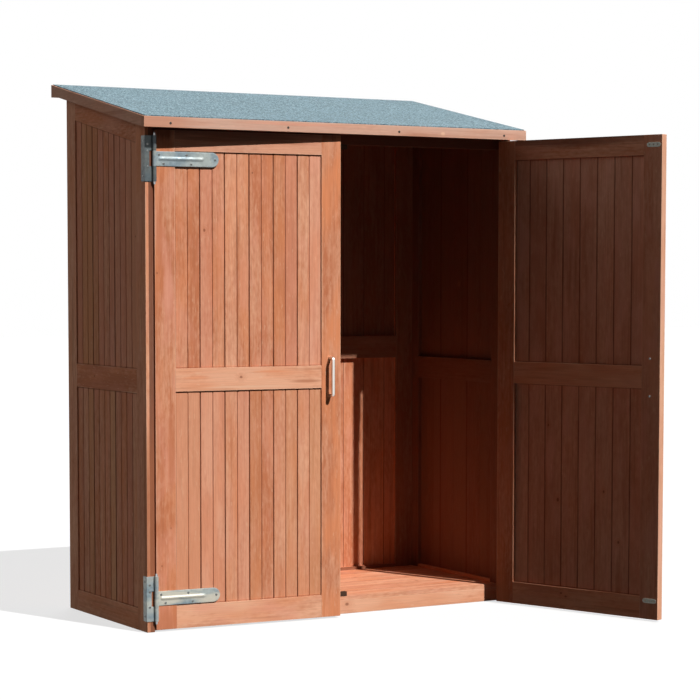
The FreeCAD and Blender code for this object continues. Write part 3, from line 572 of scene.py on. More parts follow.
class CABINET_OT_carcass_timber(bpy.types.Operator):
    """Finishes the floor, the side and back panels and the roof's timber"""

    bl_idname = "cabinet.carcass_timber"
    bl_label = "Carcass timber"

    def execute(self, context):
        seeds = itertools.count(1)
        members = []
        for side in WAYS:
            members += [
                (f"{side}_side_front_stile", "z", "y", 0.42),
                (f"{side}_side_rear_stile", "z", "y", 0.40),
                (f"{side}_side_top_rail", "y", "z", 0.35),
                (f"{side}_side_mid_rail", "y", "z", 0.35),
                (f"{side}_side_bottom_rail", "y", "z", 0.40),
                (f"{side}_barge_board", "y", "z", 0.45),
                (f"back_{side}_stile", "z", "x", 0.4),
            ]
        members += [
            ("back_centre_stile", "z", "x", 0.4),
            ("floor_front_rail", "x", "z", 0.9),
            ("floor_rear_rail", "x", "z", 0.7),
            ("front_header", "x", "z", 0.35),
            ("front_fascia", "x", "z", 0.45),
            ("rear_fascia", "x", "z", 0.5),
        ]
        faded = {"faded": 0.5, "pink": 0.5}
        # Painted shade: the frames' faces turned into the cabinet are darkened
        inward = {"bands": (facing("x", -0.7095, 0.7095, "inner", 0.8),)}
        back_inside = {"bands": (facing("y", 0.2, 0.30, "inner", 0.6),)}
        looks = {
            "front_fascia": {"faded": 0.85, "pink": 0.5, "patches": (
                (1.674, 0.398, 0.008, 1.3, "worn", 0.8), (1.681, -0.74, 0.08, 2.6, "red", 0.5),
                (1.688, -0.2, 0.006, 40.0, "pink", 0.5),
                (1.668, 0.33, 0.005, 30.0, "brown", 0.3))},
            "rear_fascia": faded,
            # Painted shade: the seam tint over the barge boards' top edges stands for the shadow
            # line between felt and barge
            "left_barge_board": {**faded, "edges": False, "bands": (
                facing("x", -0.7497, -0.72, "seam", 0.75),)},
            "right_barge_board": {**faded, "edges": False, "bands": (
                facing("x", 0.72, 0.7497, "seam", 0.75),)},
            "floor_front_rail": {"knots": ((0.033, 0.063, 0.006),), "pink": 0.1},
            # Painted shade over the header, under the roof
            "front_header": {"bands": (facing("y", -0.4, -0.2, "inner", 0.9),)},
            "left_side_front_stile": {**inward, "patches": (
                (-0.3205, 0.35, 0.03, 14.0, "brown", 0.6),)},
        }
        for node in ("back_left_stile", "back_centre_stile", "back_right_stile"):
            looks[node] = back_inside
        for side in WAYS:
            for part in ("front_stile", "rear_stile", "top_rail", "mid_rail"):
                looks.setdefault(f"{side}_side_{part}", inward)
        for node, grain, face, tone in members:
            stain(node, grain, face, tone, next(seeds), stray=0.15, **looks.get(node, {}))

        for part in ("top", "mid", "bottom"):
            node = f"back_{part}_rail"
            low, high = own_box(node)
            halves = Boards("x", low.x, (high.x - low.x) / 2)
            stain(node, "x", "z", 0.45, next(seeds), boards=halves, stray=0.3, edges=False,
                  **back_inside)

        for side in WAYS:
            name = f"{side}_side"
            low, high = own_box(name + "_boards")
            front = own_box(name + "_front_stile")[1].y
            rear = own_box(name + "_rear_stile")[0].y
            edge = min(abs(low.x), abs(high.x)) + INNER_SKIN
            boards = Boards("y", SIDE_START, SIDE_PITCH, 0.0055, 0.0018, STRIP,
                            split=SIDE_MIDDLE, strips=True,
                            openings=daylight(name, front, rear, rise=ROOF_RISE),
                            outer=("x", -1.0, -edge) if side == "left" else ("x", edge, 1.0))
            # Painted shade on the boards' faces turned into the cabinet
            stain(name + "_boards", "z", "y", 0.2, next(seeds), rounding=0.5, segments=1,
                  boards=boards, stray=0.1, edges=False,
                  bands=(facing("x", -edge, edge, "inner", 0.8),))

        edge = own_box("back_boards")[0].y + INNER_SKIN
        boards = Boards("x", BACK_START, BACK_PITCH, 0.0022, 0.0016, split=BACK_MIDDLE,
                        bay=(BAY_START, BAY_WIDTH), outer=("y", edge, 1.0))
        # Painted shade on the inner faces of the upper back boards, above where the sun reaches
        stain("back_boards", "z", "x", 0.25, next(seeds), rounding=0.5, segments=1,
              boards=boards, stray=0.15, edges=False,
              bands=(((("y", 0.0, edge), ("z", 0.88, 2.0)), "inner", 0.6),))

        for node, grain, axis, count, tone, seam in (
                ("floor_boards", "x", "y", 6, 0.5, 0.0018),
                ("roof_deck", "y", "x", 15, 0.45, 0.0018),
                ("floor_cross_bearers", "y", "x", 5, 0.55, 0.0)):
            low, high = (corner["xyz".index(axis)] for corner in own_box(node))
            boards = Boards(axis, low, (high - low) / count, seam, count=count)
            stain(node, grain, axis, tone, next(seeds), rounding=0.6, segments=1,
                  boards=boards, stray=0.35, edges=False)
        return {"FINISHED"}


def add_tongue(mesh, axis, joint, depth, bottom, top):
    """A tongue in the joint between two boards, with its arrises taken off."""
    half, thick, cut = 0.003, 0.0008, 0.0003
    outline = ((half - cut, -thick), (half, cut - thick), (half, thick - cut),
               (half - cut, thick), (cut - half, thick), (-half, thick - cut),
               (-half, cut - thick), (cut - half, -thick))
    ends = [[(joint + a, depth + b, z) if axis == "x" else (depth + b, joint + a, z)
             for a, b in outline] for z in (bottom, top)]
    for end in add_rings(mesh, ends):
        mesh.faces.new(end)


class CABINET_OT_board_tongues(bpy.types.Operator):
    """Builds the tongues that close the joints between the carcass's boards"""

    bl_idname = "cabinet.board_tongues"
    bl_label = "Board tongues"

    def execute(self, context):
        material = timber("board_tongue_stain", "back_boards", "z", "x", 0.1, 90, edges=False,
                          bands=(facing("z", 0.0, 2.0, "seam", 0.8),))
        back_joints = [BACK_START + BAY_WIDTH * bay + BACK_PITCH * k for bay in range(2)
                       for k in range(1, 7)]
        side_joints = [SIDE_START + SIDE_PITCH * k for k in (1, 2)]
        panels = [("back", "x", back_joints, 0.0)]
        panels += [(f"{side}_side", "y", side_joints, ROOF_RISE) for side in WAYS]
        hidden = 0.006
        for name, axis, joints, rise in panels:
            low, high = own_box(name + "_boards")
            middle = (low + high) / 2
            depth = middle.y if axis == "x" else middle.x
            bottom = own_box(name + "_bottom_rail")[1].z
            rail_low, rail_high = own_box(name + "_mid_rail")
            top = own_box(name + "_top_rail")[0]
            mesh = bmesh.new()
            for joint in joints:
                head = top.z + rise * (joint - top.y)
                add_tongue(mesh, axis, joint, depth, bottom - hidden, rail_low.z + hidden)
                add_tongue(mesh, axis, joint, depth, rail_high.z - hidden, head + hidden)
            piece(name + "_board_tongues", mesh, material, "cabinet")
        return {"FINISHED"}


class CABINET_OT_door_timber(bpy.types.Operator):
    """Finishes the frames, the cladding and the lining of both doors"""

    bl_idname = "cabinet.door_timber"
    bl_label = "Door timber"

    def execute(self, context):
        seeds = itertools.count(61)
        # Painted shadow: the dark patches near 1.66 m, at the tops of the stiles and the top rails,
        # stand for the eaves' shadow on the doors
        looks = {
            "left_door_hinge_stile": {
                "knots": ((0.023, 0.219, 0.0025), (0.056, 0.344, 0.002)), "pink": 0.5,
                "patches": ((0.035, 0.02, 0.05, 1.3, "red", 0.7),
                            (0.06, 0.62, 0.016, 9.0, "red", 0.6),
                            (0.02, 1.32, 0.014, 9.0, "red", 0.55),
                            (0.05, 1.15, 0.018, 6.0, "pink", 0.6),
                            (0.035, 1.66, 0.055, 0.7, "inner", 0.7))},
            "left_door_free_stile": {"warmth": 1.0, "pink": 0.0, "patches": (
                (0.65, 0.45, 0.012, 16.0, "red", 0.5), (0.66, 1.25, 0.010, 18.0, "red", 0.4),
                (0.65, 1.66, 0.05, 0.5, "inner", 0.6))},
            "left_door_top_rail": {"faded": 0.3, "patches": (
                (1.655, 0.3, 0.032, 13.0, "inner", 0.7),)},
            "right_door_top_rail": {"patches": ((1.655, -0.3, 0.032, 13.0, "inner", 0.7),)},
            "left_door_mid_rail": {
                "knots": ((0.841, 0.313, 0.0045),), "pink": 0.1,
                "patches": ((0.822, 0.56, 0.006, 12.0, "brown", 0.6),
                            (0.808, 0.34, 0.004, 50.0, "worn", 0.5),
                            (0.858, 0.42, 0.005, 14.0, "orange", 0.6),
                            (0.842, 0.15, 0.008, 7.0, "orange", 0.5))},
            "left_door_bottom_rail": {"pink": 0.5},
            "left_door_cladding": {"knots": ((0.182, 1.331, 0.0045),), "bands": (
                facing("z", 0.0, DOOR_MIDDLE, "red", 0.18),)},
            "right_door_lining": {"knots": ((-0.263, 0.391, 0.006), (-0.457, 0.432, 0.004)),
                                  "pink": 0.6, "warmth": 0.1, "faded": 0.4},
            "right_door_bottom_rail": {"knots": ((0.062, -0.287, 0.004),)},
            "right_door_free_stile": {"pink": 0.7, "faded": 0.25, "bands": (
                facing("x", -0.70, -0.6872, "worn", 0.25),)},
        }
        # Painted shade on the faces of the door frames turned into the cabinet
        inner_face = facing("y", 0.0335, 0.04, "inner", 0.18)
        for side, way in WAYS.items():
            door = f"{side}_door"
            for part, grain, face, tone in (("hinge_stile", "z", "x", 0.33),
                                            ("free_stile", "z", "x", 0.28),
                                            ("bottom_rail", "x", "z", 0.95),
                                            ("mid_rail", "x", "z", 0.98),
                                            ("top_rail", "x", "z", 0.62)):
                look = dict(looks.get(f"{door}_{part}", {}))
                look["bands"] = look.get("bands", ()) + (inner_face,)
                stain(f"{door}_{part}", grain, face, tone, next(seeds), side, stray=0.06, **look)
            first, last = (own_box(f"{door}_{part}_stile", side)
                           for part in ("hinge", "free")[::way])
            openings = daylight(door, first[1].x, last[0].x, side)
            cladding = Boards("x", way * CLADDING_START, CLADDING_PITCH, 0.0032, 0.0022, STRIP,
                              split=DOOR_MIDDLE, strips=True, openings=openings)
            lining = Boards("x", way * LINING_START, LINING_PITCH, 0.0036, split=DOOR_MIDDLE,
                            openings=openings)
            for part, tone, boards, stray in (("cladding", 0.45, cladding, 0.08),
                                              ("lining", 0.2, lining, 0.12)):
                node = f"{door}_{part}"
                stain(node, "z", "x", tone, next(seeds), side, 0.5, 1, boards=boards,
                      stray=stray, edges=False, **looks.get(node, {}))
        return {"FINISHED"}


# Roof felt

class CABINET_OT_roof_felt(bpy.types.Operator):
    """Finishes the mineral felt on the roof"""

    bl_idname = "cabinet.roof_felt"
    bl_label = "Roof felt"

    def execute(self, context):
        roof = context.scene.cabinet_roof
        finish = Finish("mineral_felt")
        place = finish.place()
        grains = finish.node("ShaderNodeTexVoronoi", {},
                             {"Vector": place, "Scale": 1 / roof.granule, "Randomness": 1.0})
        drawn = finish.axes(grains.output("Color"))
        patch = finish.noise(place, 130.0, 2.0, 0.6)
        wash = finish.noise(place, 5.0, 2.0)
        share = drawn["x"] * 0.8 + (patch - 0.5) * 0.5 + 0.1
        colour = finish.mixed(roof.felt_dark, roof.felt, finish.ramp(share, 0.0, 0.42))
        colour = finish.mixed(colour, roof.felt_pale, finish.ramp(share, 0.48, 0.95))
        colour = finish.scaled(colour, 0.9 + wash * 0.2)
        height = drawn["y"] * 0.7 - grains.output("Distance") * 0.8
        wear("roof_felt", finish.surface(colour, 0.82 + drawn["z"] * 0.14, (height, 0.0006, 0.6),
                                         specular=0.3))
        return {"FINISHED"}


# Hinges, handles, catches and screws

def galvanised(name, upper=1.0, ground_sheen=0.8):
    """Hot-dip zinc: crystals of slightly different greys, with white bloom, and painted
    reflections:
    blue grey patches for the sky and, low down, a pale warm sheen for the ground.

    upper is painted shade: how bright the hardware is drawn at the top of the doors, under the
    eaves, against 1 at the bottom, and ground_sheen is how much painted ground sheen shows low
    down.
    """
    metal = bpy.context.scene.cabinet_metal
    finish = Finish(name)
    place = finish.place()
    wobble = finish.noise(place, 90.0, 2.0)
    bent = finish.vector("MULTIPLY_ADD", wobble.output("Color"), (0.004, 0.004, 0.004), place)
    flakes = finish.node("ShaderNodeTexVoronoi", {}, {"Vector": bent, "Scale": 115.0})
    drawn = finish.axes(flakes.output("Color"))
    bloom = finish.ramp(finish.noise(place, 34.0, 4.0, 0.6), 0.42, 0.72)
    # Painted reflection: blue grey patches for the sky
    painted_sky_reflection = finish.ramp(finish.noise(place, 17.0, 2.0), 0.4, 0.62)
    colour = finish.mixed(metal.zinc, metal.zinc_sky_reflection, painted_sky_reflection)
    colour = finish.scaled(colour, 0.86 + drawn["x"] * 0.24)
    colour = finish.mixed(colour, metal.zinc_bloom, bloom * 0.35)
    # Painted shade and reflection: the upper hardware is darkened for the eaves' shadow, and low
    # down a pale warm sheen stands for the ground
    low = finish.axes(place)["z"] < 0.8
    painted_ground_sheen = finish.ramp(finish.noise(finish.vector("MULTIPLY", place, (0.5, 0.5, 1.6)), 26.0, 1.0),
                        0.36, 0.60)
    colour = finish.mixed(finish.scaled(colour, upper),
                          finish.mixed(colour, metal.zinc_ground_reflection, painted_ground_sheen * ground_sheen), low)
    rough = 0.36 + drawn["y"] * 0.12 + bloom * 0.18
    height = drawn["z"] * 0.4 + finish.noise(place, 260.0, 2.0) * 0.5
    return finish.surface(colour, rough, (height, 0.0003, 0.35), specular=0.35, metallic=0.18)


def satin_nickel(name):
    """Satin nickel with fine upright brush lines."""
    metal = bpy.context.scene.cabinet_metal
    finish = Finish(name)
    place = finish.place()
    brushed = finish.vector("MULTIPLY", place, (2600.0, 2600.0, 60.0))
    lines = finish.noise(brushed, 1.0, 2.0)
    smear = finish.noise(place, 60.0, 2.0)
    colour = finish.scaled(tuple(metal.nickel), 0.94 + lines * 0.08)
    return finish.surface(colour, 0.26 + lines * 0.1 + smear * 0.08, (lines, 0.0001, 0.2),
                          metallic=1.0)


def plated_steel(name, tint, metallic=0.85):
    """Steel with small darker and lighter spots."""
    finish = Finish(name)
    place = finish.place()
    spots = finish.noise(place, 420.0, 3.0, 0.6)
    colour = finish.scaled(tuple(tint), 0.72 + spots * 0.56)
    return finish.surface(colour, 0.34 + spots * 0.24, (spots, 0.0002, 0.25), specular=0.3,
                          metallic=metallic)


def moulded_plastic(name, tint):
    """Dull plastic with a fine grain."""
    finish = Finish(name)
    place = finish.place()
    grain = finish.noise(place, 1500.0, 2.0)
    colour = finish.scaled(tint, 0.92 + finish.noise(place, 45.0, 2.0) * 0.16)
    return finish.surface(colour, 0.5 + grain * 0.16, (grain, 0.0001, 0.4), specular=0.05)


def piece(name, mesh_source, material, body, nodes=(), place=None, smooth=35.0):
    """Makes a named piece from a bmesh, gives it its finish and puts it on its body."""
    bmesh.ops.recalc_face_normals(mesh_source, faces=mesh_source.faces)
    mesh = bpy.data.meshes.new(name)
    mesh_source.to_mesh(mesh)
    mesh_source.free()
    if place is not None:
        mesh.transform(place)
    mesh.materials.append(material)
    mesh.polygons.foreach_set("use_smooth", [True] * len(mesh.polygons))
    mesh.set_sharp_from_angle(angle=math.radians(smooth))
    thing = bpy.data.objects.new(name, mesh)
    bpy.context.scene.collection.objects.link(thing)
    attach(thing, body)
    if nodes:
        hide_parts(*nodes)


def circle(radius, level, count, centre=(0.0, 0.0)):
    """The points of a level circle, or its one point if it has no radius."""
    if not radius:
        return [Vector((*centre, level))]
    turns = [2 * math.pi * k / count for k in range(count)]
    return [Vector((centre[0] + radius * math.cos(turn), centre[1] + radius * math.sin(turn),
                    level)) for turn in turns]


def add_rings(mesh, rings, closed=False, around=True):
    """Skins rows of points one after another; closed joins the last row to the first."""
    made = [[mesh.verts.new(point) for point in ring] for ring in rings]
    for low, high in zip(made, made[1:] + made[:1] if closed else made[1:]):
        for k in range(max(len(low), len(high)) - (0 if around else 1)):
            face = (low[k % len(low)], low[(k + 1) % len(low)],
                    high[(k + 1) % len(high)], high[k % len(high)])
            mesh.faces.new(list(dict.fromkeys(face)))
    return made


DOOR_FACE = 0.007
DOOR_INSIDE = 0.035
HINGE_EDGE = 0.0025
FREE_EDGE = 0.6885
POST_SIDE = 0.721
POST_FRONT = -0.3205
PLATE = 0.0025

STRAP_HALF = 0.024
STRAP_TIP = 0.208
STRAP_ROWS = 26
STRAP_REACH = 0.025
RIB_START, RIB_END, RIB_HALF, RIB_RISE = 0.0225, 0.1725, 0.0085, 0.003
KNUCKLE_BORE, KNUCKLE_RADIUS, KNUCKLE_ARRIS = 0.00406, 0.007, 0.0006

PIN_REACH = 0.085
# A pin's end: each radius, and how far in from the end it is
PIN_END = ((0.0, 0.0), (0.0022, 0.0003), (0.0036, 0.0014), (0.004, 0.003))

# The handle's screws: half their distance, and how far in from the door's free edge they are
HANDLE_HALF, HANDLE_IN = 0.064, 0.041
HANDLE_BEND = 0.007
BEND_TURNS = [math.radians(90 * k / 8) for k in range(9)]

# A screw head's dome: each ring's share of the radius and of the height
SCREW_DOME = ((1.0, 0.0), (1.0, 0.25), (0.93, 0.62), (0.78, 0.88), (0.62, 1.0))
SCREW_HEIGHT = 0.0014
SCREW_POINTS = 24
# Where the screws stand: along a strap, and in from a post's corner on its two faces, and up
STRAP_SCREWS = ((0.016, 0.013), (0.032, -0.016), (0.114, 0.013), (0.130, -0.016), (0.216, 0.0))
POST_FRONT_SCREWS = ((0.008, 0.047), (0.008, 0.024), (0.008, -0.027))
POST_SIDE_SCREWS = ((0.012, 0.058), (0.012, -0.058))


def strap_levels():
    """The heights of a door's lower and upper strap."""
    low, high = own_box("left_door_hinge_straps", "left")
    return low.z + STRAP_REACH, high.z - STRAP_REACH


STRAP_LEVELS = strap_levels()


def add_screw(mesh, centre, outward, radius, turn):
    """A low domed head with a cross recess, standing on a face."""
    spin = Vector(outward).to_track_quat("Z", "Y").to_matrix().to_4x4()
    stand = Matrix.Translation(centre) @ spin @ Matrix.Rotation(turn, 4, "Z")

    def stood(points):
        return [stand @ Vector(point) for point in points]

    rim = add_rings(mesh, [stood(circle(radius * wide, SCREW_HEIGHT * up, SCREW_POINTS))
                           for wide, up in SCREW_DOME])[-1]
    arm, half = radius * 0.5, radius * 0.12
    cross = [(arm, -half), (arm, half), (half, half), (half, arm), (-half, arm), (-half, half),
             (-arm, half), (-arm, -half), (-half, -half), (-half, -arm), (half, -arm),
             (half, -half)]
    foot, lip = add_rings(mesh, [
        stood((x * 0.8, y * 0.8, SCREW_HEIGHT * 0.25) for x, y in cross),
        stood((x, y, SCREW_HEIGHT) for x, y in cross)])
    mesh.faces.new(foot)
    # The flat round the recess, as a fan from each rim point to its nearest corner of the cross
    nearest = []
    for point in circle(radius * SCREW_DOME[-1][0], 0.0, SCREW_POINTS):
        nearest.append(min(range(len(cross)), key=lambda corner: (
            (cross[corner][0] - point.x) ** 2 + (cross[corner][1] - point.y) ** 2)))
    for k in range(SCREW_POINTS):
        after = (k + 1) % SCREW_POINTS
        chain = [nearest[k]]
        while chain[-1] != nearest[after]:
            chain.append((chain[-1] + 1) % len(cross))
        mesh.faces.new((rim[k], rim[after], *[lip[corner] for corner in reversed(chain)]))


def add_strap(mesh, level, way):
    """A strap pressed from sheet, with a soft raised rib, a round tip and a rolled knuckle."""
    stations = [0.0, 0.004, 0.008, 0.012]
    stations += [0.014 + 0.002 * k for k in range(12)]
    stations += [0.04 + 0.008 * k for k in range(15)]
    stations += [0.156 + 0.002 * k for k in range(14)]
    stations += [0.188, 0.196, 0.203]
    stations += [STRAP_TIP + STRAP_HALF * math.sin(math.radians(a)) for a in range(0, 90, 6)]
    stations += [STRAP_TIP + STRAP_HALF * 0.9995]

    def lift(u, w):
        near = min(max(u, RIB_START), RIB_END)
        share = max(0.0, 1 - math.hypot(u - near, w) / RIB_HALF)
        return RIB_RISE * share * share * (3 - 2 * share)

    lines = []
    for u in stations:
        past = max(u - STRAP_TIP, 0.0)
        wide = math.sqrt(max(STRAP_HALF ** 2 - past ** 2, 1e-8))
        line = []
        for k in range(STRAP_ROWS + 1):
            w = wide * (2 * k / STRAP_ROWS - 1)
            edge = 0.0005 if k in (0, STRAP_ROWS) else 0.0
            line.append((way * u, DOOR_FACE - PLATE - lift(u, w) + edge, level + w))
        seat = [(way * u, DOOR_FACE - 0.00005, level + w) for w in (-wide, wide)]
        lines.append([seat[0], *line, seat[1]])
    mesh.faces.new(add_rings(mesh, lines, around=False)[-1])

    shoulder = KNUCKLE_RADIUS - KNUCKLE_ARRIS
    below = [(KNUCKLE_BORE, -STRAP_REACH), (shoulder, -STRAP_REACH),
             (KNUCKLE_RADIUS, KNUCKLE_ARRIS - STRAP_REACH)]
    profile = below + [(radius, -up) for radius, up in reversed(below)]
    add_rings(mesh, [circle(radius, level + up, 32) for radius, up in profile], closed=True)


class CABINET_OT_hinges(bpy.types.Operator):
    """Builds the pressed straps and pins, and finishes the leaves on the posts"""

    bl_idname = "cabinet.hinges"
    bl_label = "Hinges"

    def execute(self, context):
        zinc = galvanised("galvanised_strap")
        # The leaves are drawn darker at the top as painted shade under the eaves, with little
        # painted ground sheen
        leaf = galvanised("galvanised_leaf", 0.34, 0.3)
        for side, way in WAYS.items():
            mesh = bmesh.new()
            for level in STRAP_LEVELS:
                add_strap(mesh, level, way)
            piece(f"{side}_pressed_straps", mesh, zinc, f"{side}_door",
                  [f"{side}_door_hinge_straps"], door_place(side))

            mesh = bmesh.new()
            pin = PINS[side][0]
            below = [(radius, inset - PIN_REACH) for radius, inset in PIN_END]
            profile = below + [(radius, -up) for radius, up in reversed(below)]
            for level in STRAP_LEVELS:
                add_rings(mesh, [circle(radius, level + up, 28, (pin.x, pin.y))
                                 for radius, up in profile])
            steel = plated_steel(f"{side}_pin_steel", (0.42, 0.44, 0.45))
            piece(f"{side}_round_pins", mesh, steel, "cabinet",
                  [f"{side}_hinge_pins"])
            wear(f"{side}_post_hinge_leaves", leaf)
            soften(f"{side}_post_hinge_leaves", 0.0004)
        return {"FINISHED"}


class CABINET_OT_handles_and_catches(bpy.types.Operator):
    """Builds the bow handles, and finishes the strike plates and the magnetic catches"""

    bl_idname = "cabinet.handles_and_catches"
    bl_label = "Handles and catches"

    def execute(self, context):
        nickel = satin_nickel("satin_nickel")
        strike = plated_steel("strike_plate_steel", (0.30, 0.32, 0.28), 0.2)
        for side in WAYS:
            node = f"{side}_door_handle"
            low, high = own_box(node, side)
            half = (high.x - low.x) / 2
            across = low.x + half
            outer, bottom, top = low.y + half, low.z + half, high.z - half
            path = [(DOOR_FACE, bottom)]
            path += [(outer + HANDLE_BEND * (1 - math.sin(turn)),
                      bottom + HANDLE_BEND * (1 - math.cos(turn))) for turn in BEND_TURNS]
            path += [(outer + HANDLE_BEND * (1 - math.cos(turn)),
                      top - HANDLE_BEND * (1 - math.sin(turn))) for turn in BEND_TURNS]
            path.append((DOOR_FACE, top))
            path = [Vector((across, *point)) for point in path]
            # A square section with soft corners, square to the path at each point
            section = []
            for corner in circle(1.0, 0.0, 32):
                section.append([math.copysign(abs(share) ** 0.45, share) * half * 0.999
                                for share in corner.xy])
            rings = []
            for point, before, after in zip(path, path[:1] + path, path[1:] + path[-1:]):
                ahead = (after - before).normalized()
                lean = Vector((0, -ahead.z, ahead.y))
                rings.append([point + Vector((x, 0, 0)) + lean * y for x, y in section])
            mesh = bmesh.new()
            made = add_rings(mesh, rings)
            for end in (made[0], made[-1]):
                mesh.faces.new(end)
            piece(f"{side}_bow_handle", mesh, nickel, f"{side}_door", [node],
                  door_place(side), 50.0)
            wear(f"{side}_door_strike_plates", strike)
            soften(f"{side}_door_strike_plates", 0.0003)
        wear("magnet_catches", moulded_plastic("catch_plastic", (0.07, 0.04, 0.026)))
        soften("magnet_catches", 0.0012, 3)
        return {"FINISHED"}


class CABINET_OT_screws(bpy.types.Operator):
    """Builds the cross-recessed screw heads of the fascia, the hinges and the doors"""

    bl_idname = "cabinet.screws"
    bl_label = "Screws"

    def execute(self, context):
        metal = context.scene.cabinet_metal
        radius = metal.screw_radius * 0.98
        dark = plated_steel("dark_screw_steel", (0.075, 0.06, 0.05))
        bright = plated_steel("zinc_screw_steel", tuple(metal.steel))

        mesh = bmesh.new()
        low, high = own_box("fascia_screws")
        first, last = low.x + metal.screw_radius, high.x - metal.screw_radius
        for k in range(4):
            add_screw(mesh, (first + (last - first) * k / 3, high.y, (low.z + high.z) / 2),
                      (0, -1, 0), radius, 0.7 * k)
        piece("fascia_cross_screws", mesh, dark, "cabinet", ["fascia_screws"])

        mesh = bmesh.new()
        for sign in (-1, 1):
            for level in STRAP_LEVELS:
                for inward, up in POST_FRONT_SCREWS:
                    add_screw(mesh, (sign * (POST_SIDE - inward), POST_FRONT - PLATE, level + up),
                              (0, -1, 0), radius, inward * 90 + up * 60)
                for back, up in POST_SIDE_SCREWS:
                    add_screw(mesh, (sign * (POST_SIDE + PLATE), POST_FRONT + back, level + up),
                              (sign, 0, 0), radius, up * 80)
        piece("post_cross_screws", mesh, bright, "cabinet",
              ["post_hinge_screws"])

        for side, way in WAYS.items():
            mesh = bmesh.new()
            for level in STRAP_LEVELS:
                for along, up in STRAP_SCREWS:
                    add_screw(mesh, (way * (HINGE_EDGE + along), DOOR_FACE - PLATE, level + up),
                              (0, -1, 0), radius, along * 40)
            for up in (-HANDLE_HALF, HANDLE_HALF):
                add_screw(mesh, (way * (FREE_EDGE - HANDLE_IN), DOOR_INSIDE, DOOR_MIDDLE + up),
                          (0, 1, 0), radius, 0.4)
            piece(f"{side}_door_cross_screws", mesh, bright, f"{side}_door",
                  [f"{side}_door_screws"], door_place(side))
        return {"FINISHED"}


# Stage

FLOOR_DROP = 0.0005
FLOOR_DULL = (0.045, 0.044, 0.043, 1)
FLOOR_PALE = (0.86, 0.86, 0.86, 1)
WHITE = (1, 1, 1, 1)
# Each lamp: the setting that holds its strength, the width of its disc, where it stands round the
# cabinet from straight in front, and its height over the ground, all in degrees
LAMPS = (
    ("front_lamp", "key", 0.7, 18.8, 48.0),
    ("side_lamp", "side", 40.0, -125.0, 25.0),
    ("rear_lamp", "rear", 40.0, 145.0, 22.0),
)
LAMP_DISTANCE = 4
CAMERA_PLACE = (-3.8576, -6.9825, 1.1975)
CAMERA_YAW, CAMERA_PITCH, CAMERA_ROLL = -30.434, 3.924, 0.052
LENS, SENSOR, SHIFT_UP = 114.85, 36, 0.1055


def seen_plainly(finish):
    """1 for a ray from the camera, a mirror or glass, and 0 for light that only falls on things."""
    path = finish.node("ShaderNodeLightPath", {}, {}, "Is Camera Ray")
    mirrored = finish.most(path.output("Is Glossy Ray"), path.output("Is Transmission Ray"))
    return finish.most(path, mirrored)


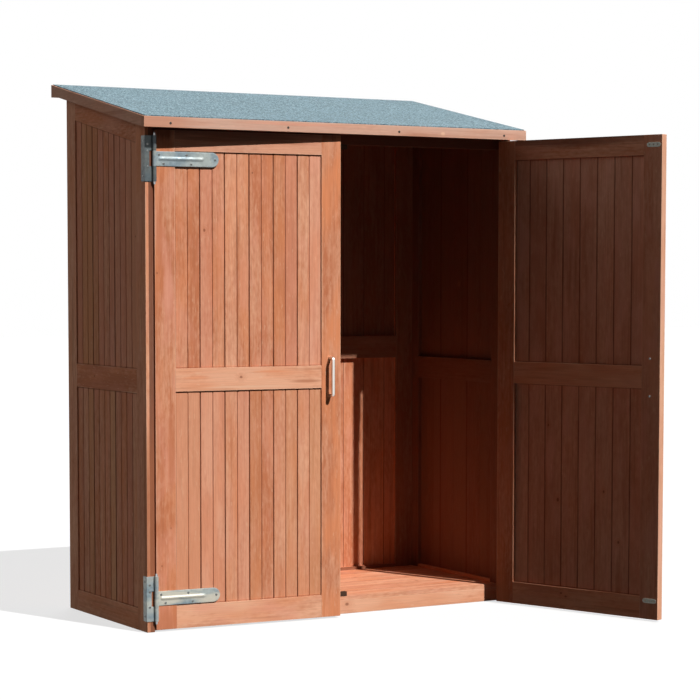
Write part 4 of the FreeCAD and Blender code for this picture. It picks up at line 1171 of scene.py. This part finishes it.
class CABINET_OT_stage(bpy.types.Operator):
    """Sets up the pale floor, the lamps, the even fill and the camera"""

    bl_idname = "cabinet.stage"
    bl_label = "Stage"

    def execute(self, context):
        scene = context.scene
        studio = scene.cabinet_studio
        scene.view_settings.view_transform = "Standard"

        mesh = bpy.data.meshes.new("studio_floor")
        reach = studio.reach
        mesh.from_pydata([(-reach, -reach, 0), (reach, -reach, 0), (reach, reach, 0),
                          (-reach, reach, 0)], [], [(0, 1, 2, 3)])
        floor = bpy.data.objects.new("studio_floor", mesh)
        floor.location.z = -FLOOR_DROP
        scene.collection.objects.link(floor)
        finish = Finish("pale_floor")
        seen = seen_plainly(finish)
        dull = finish.node("ShaderNodeBsdfDiffuse", {}, {"Color": FLOOR_DULL})
        pale = finish.node("ShaderNodeBsdfDiffuse", {}, {"Color": FLOOR_PALE})
        white = finish.node("ShaderNodeEmission", {}, {"Color": WHITE, "Strength": 1.0})
        shown = finish.node("ShaderNodeMixShader", {}, {0: studio.shadow, 1: white, 2: pale})
        finish.show(finish.node("ShaderNodeMixShader", {}, {0: seen, 1: dull, 2: shown}))
        mesh.materials.append(finish.material)

        air = Finish("studio_air", bpy.data.worlds)
        seen = seen_plainly(air)
        dim = air.node("ShaderNodeBackground", {}, {"Color": WHITE, "Strength": studio.fill})
        white = air.node("ShaderNodeBackground", {}, {"Color": WHITE, "Strength": 1.0})
        air.show(air.node("ShaderNodeMixShader", {}, {0: seen, 1: dim, 2: white}))
        scene.world = air.material

        for name, setting, spread, azimuth, height in LAMPS:
            light = bpy.data.lights.new(name, "SUN")
            light.energy = getattr(studio, setting)
            light.angle = math.radians(spread)
            lamp = bpy.data.objects.new(name, light)
            turn = math.radians(azimuth)
            lift = math.radians(height)
            toward = Vector((math.sin(turn) * math.cos(lift), -math.cos(turn) * math.cos(lift),
                             math.sin(lift)))
            lamp.rotation_euler = toward.to_track_quat("Z", "Y").to_euler()
            lamp.location = toward * LAMP_DISTANCE
            scene.collection.objects.link(lamp)

        lens = bpy.data.cameras.new("main_camera")
        lens.sensor_width = SENSOR
        lens.lens = LENS
        lens.shift_y = SHIFT_UP
        camera = bpy.data.objects.new("main_camera", lens)
        camera.location = CAMERA_PLACE
        aim = (Matrix.Rotation(math.radians(CAMERA_YAW), 3, "Z")
               @ Matrix.Rotation(math.radians(90 - CAMERA_PITCH), 3, "X")
               @ Matrix.Rotation(math.radians(CAMERA_ROLL), 3, "Z"))
        camera.rotation_euler = aim.to_euler()
        scene.collection.objects.link(camera)
        scene.camera = camera
        return {"FINISHED"}


class CABINET_PT_panel(bpy.types.Panel):
    """The cabinet's sizes, colours and building steps"""

    bl_idname = "CABINET_PT_panel"
    bl_label = "Garden cabinet"
    bl_space_type = "VIEW_3D"
    bl_region_type = "UI"
    bl_category = "Cabinet"

    def draw(self, context):
        layout = self.layout
        for group in SETTINGS:
            box = layout.box()
            held = getattr(context.scene, group)
            for name in held.__annotations__:
                box.prop(held, name)
        for step in STEPS:
            layout.operator(step.bl_idname)


SETTINGS = {
    "cabinet_timber": CabinetTimber,
    "cabinet_roof": CabinetRoof,
    "cabinet_metal": CabinetMetal,
    "cabinet_studio": CabinetStudio,
}
STEPS = (
    CABINET_OT_carcass_timber,
    CABINET_OT_board_tongues,
    CABINET_OT_door_timber,
    CABINET_OT_roof_felt,
    CABINET_OT_hinges,
    CABINET_OT_handles_and_catches,
    CABINET_OT_screws,
    CABINET_OT_stage,
)


def register():
    for kind in (*SETTINGS.values(), *STEPS, CABINET_PT_panel):
        bpy.utils.register_class(kind)
    for name, kind in SETTINGS.items():
        setattr(bpy.types.Scene, name, PointerProperty(type=kind))


def unregister():
    for name in SETTINGS:
        delattr(bpy.types.Scene, name)
    for kind in reversed((*SETTINGS.values(), *STEPS, CABINET_PT_panel)):
        bpy.utils.unregister_class(kind)


def main():
    register()
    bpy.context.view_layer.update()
    for step in STEPS:
        group, name = step.bl_idname.split(".")
        getattr(getattr(bpy.ops, group), name)()


if __name__ == "__main__":
    main()
